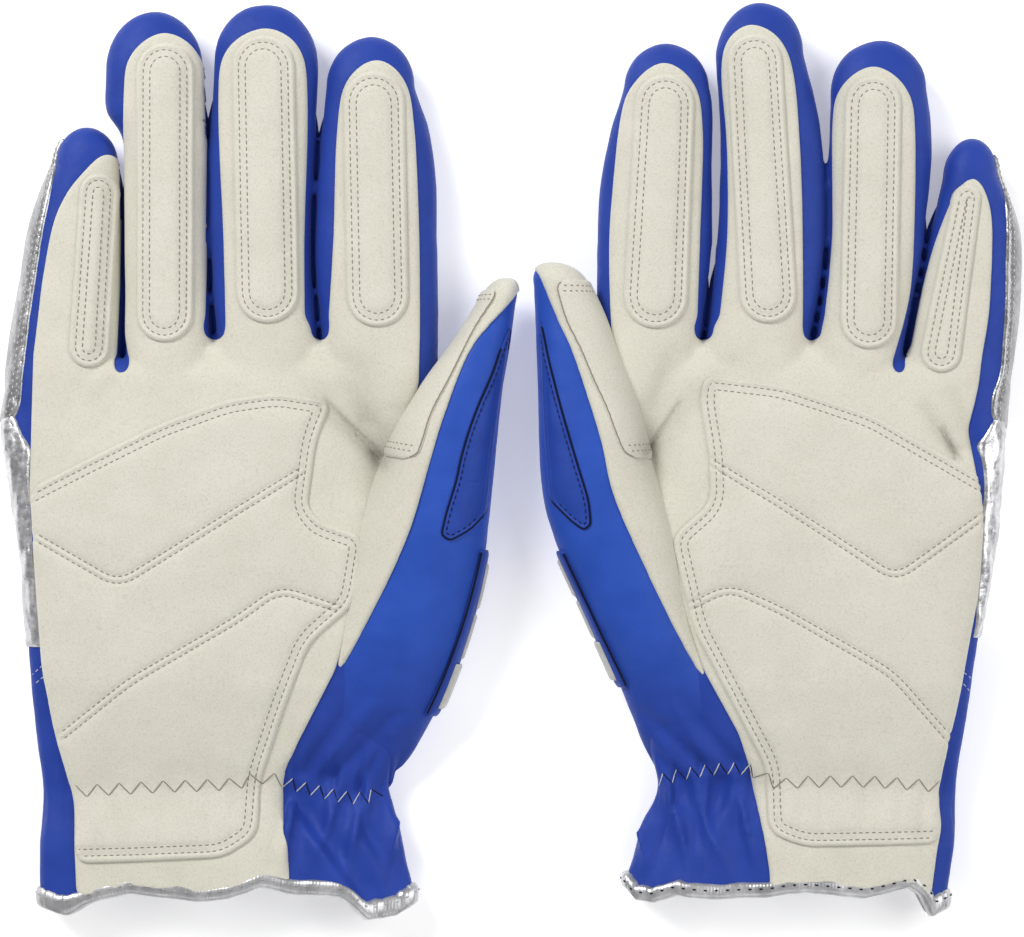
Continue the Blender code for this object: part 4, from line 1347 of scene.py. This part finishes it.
def build_reinforcement(glove, suede_tree):
    """The second layer on the palm, its channels and its twin rows of stitches."""
    plan = glove.plan
    corners = np.array(plan["reinforcement"])
    outline = rounded(corners, 4.0)
    # where it is sewn into the side seam its rows run on past the edge, and are cut off there
    sewn = corners.copy()
    sewn[list(plan["reinforcement_seam"]), 0] -= 7
    sewn[0] = corners[0] + 7 * (corners[0] - corners[1]) / (corners[1][0] - corners[0][0])
    sewn = rounded(sewn, 4.0)
    channels = [rounded_path(line, 5.0) for line in plan["channels"]]
    pad = drape(outline, suede_tree, PATCH_LIFT, TWIN_ROWS, channels, puff=0.4, sewn_loop=sewn)
    pad_tree = tree_of(*pad)
    place(glove, "reinforcement", *pad, "suede_patch", "suede", ["palm_reinforcement"])
    stitches = []
    clear = offset_loop(outline, 0.5)
    for distance in TWIN_ROWS:
        row = offset_loop(sewn, distance)
        turn = np.nonzero(~inside(clear, row))[0]
        if len(turn):
            row = np.roll(row, -turn[np.argmax(np.diff(np.r_[turn, turn[0] + len(row)]))], axis=0)
        stitches.append(stitch_row(row[inside(clear, row)], pad_tree))
    clear = offset_loop(outline, 1.0)
    for line in channels:
        for shift in (-ROW_GAP / 2, ROW_GAP / 2):
            row = beside(line, shift)
            stitches.append(stitch_row(row[inside(clear, row)], pad_tree))
    place(glove, "palm_stitches", *joined(stitches), "taupe", "suede")
    return pad


def build_patches(glove, suede_tree):
    """The patches on the finger pads, with twin rows round each."""
    patches, stitches = [], []
    for name in FINGERS:
        loop = capsule_outline(*glove.plan["patches"][name])
        part = drape(loop, suede_tree, PATCH_LIFT, TWIN_ROWS, puff=0.25, spacing=1.2)
        patches.append(part)
        part_tree = tree_of(*part)
        for distance in TWIN_ROWS:
            row = offset_loop(loop, distance)
            stitches.append(stitch_row(np.vstack([row, row[:1]]), part_tree))
    articulate(glove, "patches", *joined(patches), "suede_patch", FINGERS, "suede",
               stall_nodes(FINGERS, "_patch"))
    articulate(glove, "patch_stitches", *joined(stitches), "taupe", FINGERS, "suede")


def build_thumb_layers(glove, thumb_skin):
    """The thumb's suede patch, and the blue overlay panel on its outer side."""
    plan, tube = glove.plan, glove.tubes["thumb"]
    line = plan["thumb_patch"]
    stations = np.arange(tube.station_at_y(line[1][1]), tube.station_at_y(line[-1][1]), 0.35)
    edge = edge_angles(tube, stations, line)
    from_end, from_start = stations[-1] - stations, stations - stations[0]
    edge = edge + 16 * (1 - np.clip(from_end / 2.5, 0, 1)) ** 2
    edge = edge + 14 * (1 - np.clip(from_start / 2.0, 0, 1)) ** 2
    far = 203 - 45 * (1 - np.clip(from_start / 5.0, 0, 1)) ** 2
    part = wrapped(tube, stations, edge, np.maximum(far, edge + 8), SUEDE_LIFT + 0.7, 26)
    articulate(glove, "thumb_patch", *part, "suede_patch", ("thumb",), "suede",
               stall_nodes(("thumb",), "_patch"))
    rows = [loop_rod(tube.point(stations[2:-2], edge[2:-2] + 1.5, SUEDE_LIFT + 0.45), THREAD)]
    for inset in (5, 8, len(stations) - 8, len(stations) - 5):
        sweep = np.linspace(edge[inset] + 9, edge[inset] + 75, 30)
        rows.append(dashes(tube.point(stations[inset], sweep, SUEDE_LIFT + 0.72), 0.86, STITCH_RADIUS))
    articulate(glove, "thumb_stitches", *joined(rows), "taupe", ("thumb",), "suede")

    panel = drape(rounded(plan["thumb_panel"], 3.0, 0.6), tree_of(*thumb_skin), 0.7, (1.3,), spacing=1.2)
    panel_tree = tree_of(*panel)
    articulate(glove, "thumb_overlay", *panel, "blue_dark", ("thumb",), "blue_synthetic")
    front = rounded_path(plan["thumb_panel"][:-3], 3.0)
    row = stitch_row(beside(front, 1.2)[2:-2], panel_tree, radius=0.14)
    articulate(glove, "overlay_stitches", *row, "navy", ("thumb",), "blue_synthetic")
    rim = loop_rod(dropped(panel_tree, beside(front, 0.2), 0.0), 0.28)
    articulate(glove, "overlay_edge", *rim, "navy", ("thumb",), "blue_synthetic")


def crinkle(points):
    """Long soft folds with sharper creases between them, along the hand, and none under the guard."""
    folds = wrinkle(points * (1.0, 0.45, 1.0), 4.5, 6)
    under = ease(6.0, 12.0, points[:, 1])
    return (1 - under) * (0.9 * np.abs(folds) - 0.2 + 0.12 * wrinkle(points, 3.0, 7))


def dimple(points):
    """The guard's faint dimples."""
    return 0.10 * wrinkle(points, 4.0, 8)


def puffed(edge, far, full, across):
    """Lifts of a layer that lies flat at its front edge and stands `full` off at the side."""
    angles = edge[:, None] + (far - edge)[:, None] * np.linspace(0, 1, across)
    rise = ease(0, 1, (angles - edge[:, None]) / (176 - edge[:, None]))
    return SIDE_LIFT + (full[:, None] - SIDE_LIFT) * rise


def build_side_rows(glove, skin_tree):
    """The short white rows of the side seam, on the blue below the silver panel."""
    rows = [stitch_row(resampled(np.array(line), 0.4), skin_tree, radius=0.12)
            for line in glove.plan["side_rows"]]
    place(glove, "side_stitches", *joined(rows), "white", "blue_synthetic")


def build_side_seams(glove):
    """The rolled seams between neighbouring fingers, which close the gaps as far as they touch."""
    for n, height in enumerate(glove.plan["closed_to"]):
        for name, degrees in ((FINGERS[n], -10.0), (FINGERS[n + 1], 190.0)):
            tube = glove.tubes[name]
            stations = np.arange(5.0, tube.station_at_y(height), 0.8)
            taper = np.sqrt(np.clip((stations[-1] - stations) / 6.0, 0.01, 1.0))
            centres = tube.point(stations, degrees, -0.15 - 1.3 * (1 - taper))
            size = SEAM_RADIUS * taper
            articulate(glove, f"seam_{n}", *loop_rod(centres, size[:, None, None]), "blue",
                       (name,), "blue_synthetic")


def build_silver(glove, skin, skin_tree):
    """The silver guard along the little finger and the silver panel down the side of the hand."""
    plan, hand, little = glove.plan, glove.hand, glove.tubes["little"]
    panel_look, guard_look = plan["silver_looks"]
    low_lift, low_rise, high_lift, high_rise = plan["silver_lift"]

    (bottom, top), fold = plan["silver_span"], plan["silver_fold"]
    stations = np.linspace(hand.station_at_y(bottom), hand.station_at_y(top), 90)
    edge = edge_angles(hand, stations, [(x, y) for y, x in fold])
    y = np.interp(stations, np.arange(hand.count), hand.centres[:, 1])
    far = np.full(len(edge), 214.0)
    full = low_lift + low_rise * ease(-24, 6, y) * (1 - ease(9, 14, y))
    panel = wrapped(hand, stations, edge, far, puffed(edge, far, full, 34), 34, crinkle, skin_tree)
    place(glove, "silver_panel", *panel, panel_look, "silver_leather", ["outer_side_panel"])

    line = plan["guard_edge"]
    stations = np.arange(little.station_at_y(line[0][1]), little.station_at_y(line[-1][1]), 0.4)
    edge = edge_angles(little, stations, line)
    y = np.interp(stations, np.arange(little.count), little.centres[:, 1])
    far = np.maximum(edge + 14, 222.0)
    full = high_lift + high_rise * (0.6 * (1 - ease(28, 50, y)) + 0.4 * (1 - ease(9, 15, y)))
    full = SIDE_LIFT + (full - SIDE_LIFT) * ease(88, 72, y)
    guard = wrapped(little, stations, edge, far, puffed(edge, far, full, 30), 30, dimple, skin_tree)
    covered = tree_of(*joined([guard, skin]))
    articulate(glove, "guard", *guard, guard_look, ("little",), "silver_leather",
               stall_nodes(("little",), "_guard"))
    rows = [dashes(around(little, stations, edge + shift, covered, 0.05), 0.85, 0.15)
            for shift in (5.5, 12.5)]
    articulate(glove, "guard_stitches", *joined(rows), "white", ("little",), "silver_leather")


def squared(value):
    """A cosine or sine whose circle is pushed out towards a square."""
    return np.sign(value) * np.abs(value) ** 0.7


def build_cuff(glove):
    """The tape bound over the cuff's edge, wavy as the fabric under it, and its stitching."""
    hand, plan = glove.hand, glove.plan
    turns = np.linspace(0, 360, 241)[:-1]
    y = glove.cuff_line(hand.point(1.0, turns)[:, 0])
    centre = np.array([hand.point(hand.station_at_y(line), a, -LINING / 2)
                       for line, a in zip(y, turns, strict=True)])
    at_cuff = hand.station_at_y(-115)
    normals = np.array([hand.point(at_cuff, a, 1.0) - hand.point(at_cuff, a) for a in turns])
    normals[:, 1] = 0
    normals /= np.linalg.norm(normals, axis=1)[:, None]
    ripple = 0.35 * np.sin(np.radians(turns) * 31) + 0.25 * np.sin(np.radians(turns) * 53 + 1)
    relief = glove.relief(np.column_stack([centre[:, 0], y, centre[:, 2]]), normals)
    centre = centre + normals * relief[:, None]
    low_x, high_x = plan["wide_binding"]
    grow = 1 + 0.3 * (ease(low_x + 4, low_x, centre[:, 0]) + ease(high_x - 5, high_x + 3, centre[:, 0]))

    angles = np.arange(BINDING_SIDES) * 2 * math.pi / BINDING_SIDES
    rings = []
    for c, n, wave, size in zip(centre, normals, ripple, grow, strict=True):
        out = squared(np.cos(angles)) * (BINDING_WIDTH / 2 * (size + 0.06 * wave))
        up = squared(np.sin(angles)) * (BINDING_THICK / 2 * (1 + 0.10 * wave))
        rings.append(c + out[:, None] * np.array([0, 1, 0]) + up[:, None] * n)
    verts = np.array(rings).reshape(-1, 3)
    verts[:, 1] += np.repeat(0.25 * ripple, BINDING_SIDES)
    verts[:, 2] = np.maximum(verts[:, 2], 0.0)
    total = len(verts)
    faces = [(a, (a + BINDING_SIDES) % total, (b + BINDING_SIDES) % total, b)
             for row in range(0, total, BINDING_SIDES)
             for a, b in ((row + k, row + (k + 1) % BINDING_SIDES) for k in range(BINDING_SIDES))]
    place(glove, "binding", verts, faces, "tape", "grey_binding", ["cuff_binding"])

    ring = (centre + np.array([0, 1.0, 0]) * (grow[:, None] * BINDING_WIDTH / 2 - 1.8)
            + normals * (BINDING_THICK / 2 * 1.06))
    stitches = dashes(np.vstack([ring, ring[:1]]), 1.0, 0.2, 3)
    place(glove, "binding_stitches", *stitches, plan["binding_thread"], "grey_binding")


def build_zigzag(glove, surface):
    """The zigzag rows that sew the elastic in: taupe on the suede and white on the blue, where the legs
    that slant down to the right seen from above are dark blue, painted shade.
    """
    plan = glove.plan
    fine = smooth_line(plan["zigzag"], 0.05)
    at = [0]
    while at[-1] < len(fine):
        pitch = ZIGZAG_PITCH if fine[at[-1]][0] < plan["blue_from"] else GATHERED_PITCH
        at.append(at[-1] + round(pitch / 0.05))
    line = fine[at[:-1]]
    swing = ZIGZAG_SWING * (1 - 2 * (np.arange(len(line)) % 2))
    corners = beside(line, swing[:, None])
    legs = {"suede": [], "blue": [], "navy": []}
    share = np.linspace(0.03, 0.97, 9)
    for a, b in zip(corners[:-1], corners[1:], strict=True):
        path = dropped(surface, a + (b - a) * share[:, None], -0.12)
        path[:, 2] += 0.22 * np.sin(math.pi * share) ** 0.5
        # legs that slant up to the right seen from above stay white; the others take the dark blue thread
        # look as painted shade
        rising = (b[1] - a[1]) * plan["mirror"] > 0
        name = "suede" if a[0] < plan["blue_from"] else "blue" if rising else "navy"
        legs[name].append(loop_rod(path, 0.15, 6))
    for name, look, nodes in (("suede", "taupe", ()), ("blue", "white", ["wrist_elastic"]),
                              ("navy", "navy", ())):
        place(glove, f"zigzag_{name}", *joined(legs[name]), look, "elastic", nodes)


def build_badge(glove):
    """A plain moulded badge with raised bars on a blue base with a dark blue edge, on the thumb side."""
    thumb = glove.tubes["thumb"]
    upper, lower = (thumb.station_at_y(y) for y in glove.plan["badge_span"])
    stations = np.arange(lower, upper, 0.5)
    front = np.linspace(34.0, 25.0, len(stations))
    base = wrapped(thumb, stations, np.full(len(stations), -34.0), front, 1.1, 18)
    place(glove, "badge_base", *base, "blue_dark", "blue_synthetic")
    edge = loop_rod(thumb.point(stations[1:-1], front[1:-1] + 1.0, 0.75), 0.3)
    place(glove, "badge_edge", *edge, "navy", "blue_synthetic")
    parts, size = [], upper - lower
    for start, end, width, lift in BADGE_BARS:
        run = np.arange(lower + start * size, lower + end * size, 0.3)
        parts.append(wrapped(thumb, run, np.full(len(run), -26.0), np.full(len(run), width), lift, 14))
    place(glove, "badge_bars", *joined(parts), "rubber", "badge", ["knuckle_badge"])


def build_glove(plan):
    glove = Glove(plan)
    skin = build_skin(glove)
    skin_tree = tree_of(*skin)
    thumb = build_thumb(glove)
    palm, strip = build_suede(glove, skin_tree)
    suede_tree = tree_of(*palm)
    pad = build_reinforcement(glove, suede_tree)
    build_patches(glove, suede_tree)
    build_thumb_layers(glove, thumb)
    build_side_rows(glove, skin_tree)
    build_side_seams(glove)
    build_silver(glove, skin, skin_tree)
    build_cuff(glove)
    build_zigzag(glove, tree_of(*joined([skin, thumb, palm, strip, pad])))
    build_badge(glove)


# ---- the room ---------------------------------------------------------------------------------
CAMERA_CENTRE = (-0.0001, -0.0023)
VIEW_WIDTH = 0.2747  # metres across the picture at the height of the gloves' outlines
PLANE_HEIGHT = 0.010
LENS, SENSOR = 150.0, 36.0
FLOOR_REACH, FLOOR_Z = 1.6, -0.0012
LAMPS = (  # name, place, side lengths, watts
    ("key", (-0.75, 0.80, 0.95), (0.6, 0.6), 16.0),
    ("fill", (0.95, 0.15, 0.9), (0.9, 0.9), 7.6),
    ("foot", (0.1, -1.0, 0.9), (1.2, 0.9), 3.0),
)


def area_light(name, place_at, size, watts):
    """A rectangular lamp aimed at the middle of the floor."""
    lamp = bpy.data.lights.new(name, "AREA")
    lamp.shape = "RECTANGLE"
    lamp.size, lamp.size_y = size
    lamp.energy = watts
    item = add_object(name, lamp)
    item.location = place_at
    item.rotation_euler = (-Vector(place_at)).to_track_quat("-Z", "Y").to_euler()


def studio():
    """A pale floor, soft light from above, and the camera straight over the palms."""
    floor = bpy.data.meshes.new("floor")
    corners = ((-1, -1), (1, -1), (1, 1), (-1, 1))
    floor.from_pydata([(x * FLOOR_REACH, y * FLOOR_REACH, FLOOR_Z) for x, y in corners], [],
                      [(0, 1, 2, 3)])
    plain = Look("floor_paper", Roughness=0.95, Emission_Color=(1, 1, 1, 1), Emission_Strength=0.34)
    plain.colour(plain.ramp(plain.noise(60, 2), (0.3, (0.945, 0.945, 0.945)), (0.7, (0.96, 0.96, 0.96))))
    floor.materials.append(plain.material)
    add_object("floor", floor)
    for name, place_at, size, watts in LAMPS:
        area_light(name, place_at, size, watts)
    world = bpy.data.worlds.new("studio")
    world.use_nodes = True
    background = world.node_tree.nodes["Background"]
    background.inputs["Color"].default_value = (1, 1, 1, 1)
    background.inputs["Strength"].default_value = 0.30
    bpy.context.scene.world = world
    bpy.context.scene.view_settings.view_transform = "Standard"
    lens = bpy.data.cameras.new("camera")
    lens.lens, lens.sensor_width = LENS, SENSOR
    camera = add_object("camera", lens)
    camera.location = (*CAMERA_CENTRE, PLANE_HEIGHT + VIEW_WIDTH * LENS / SENSOR)
    bpy.context.scene.camera = camera


for plan in (RIGHT, LEFT):
    build_glove(plan)
studio()
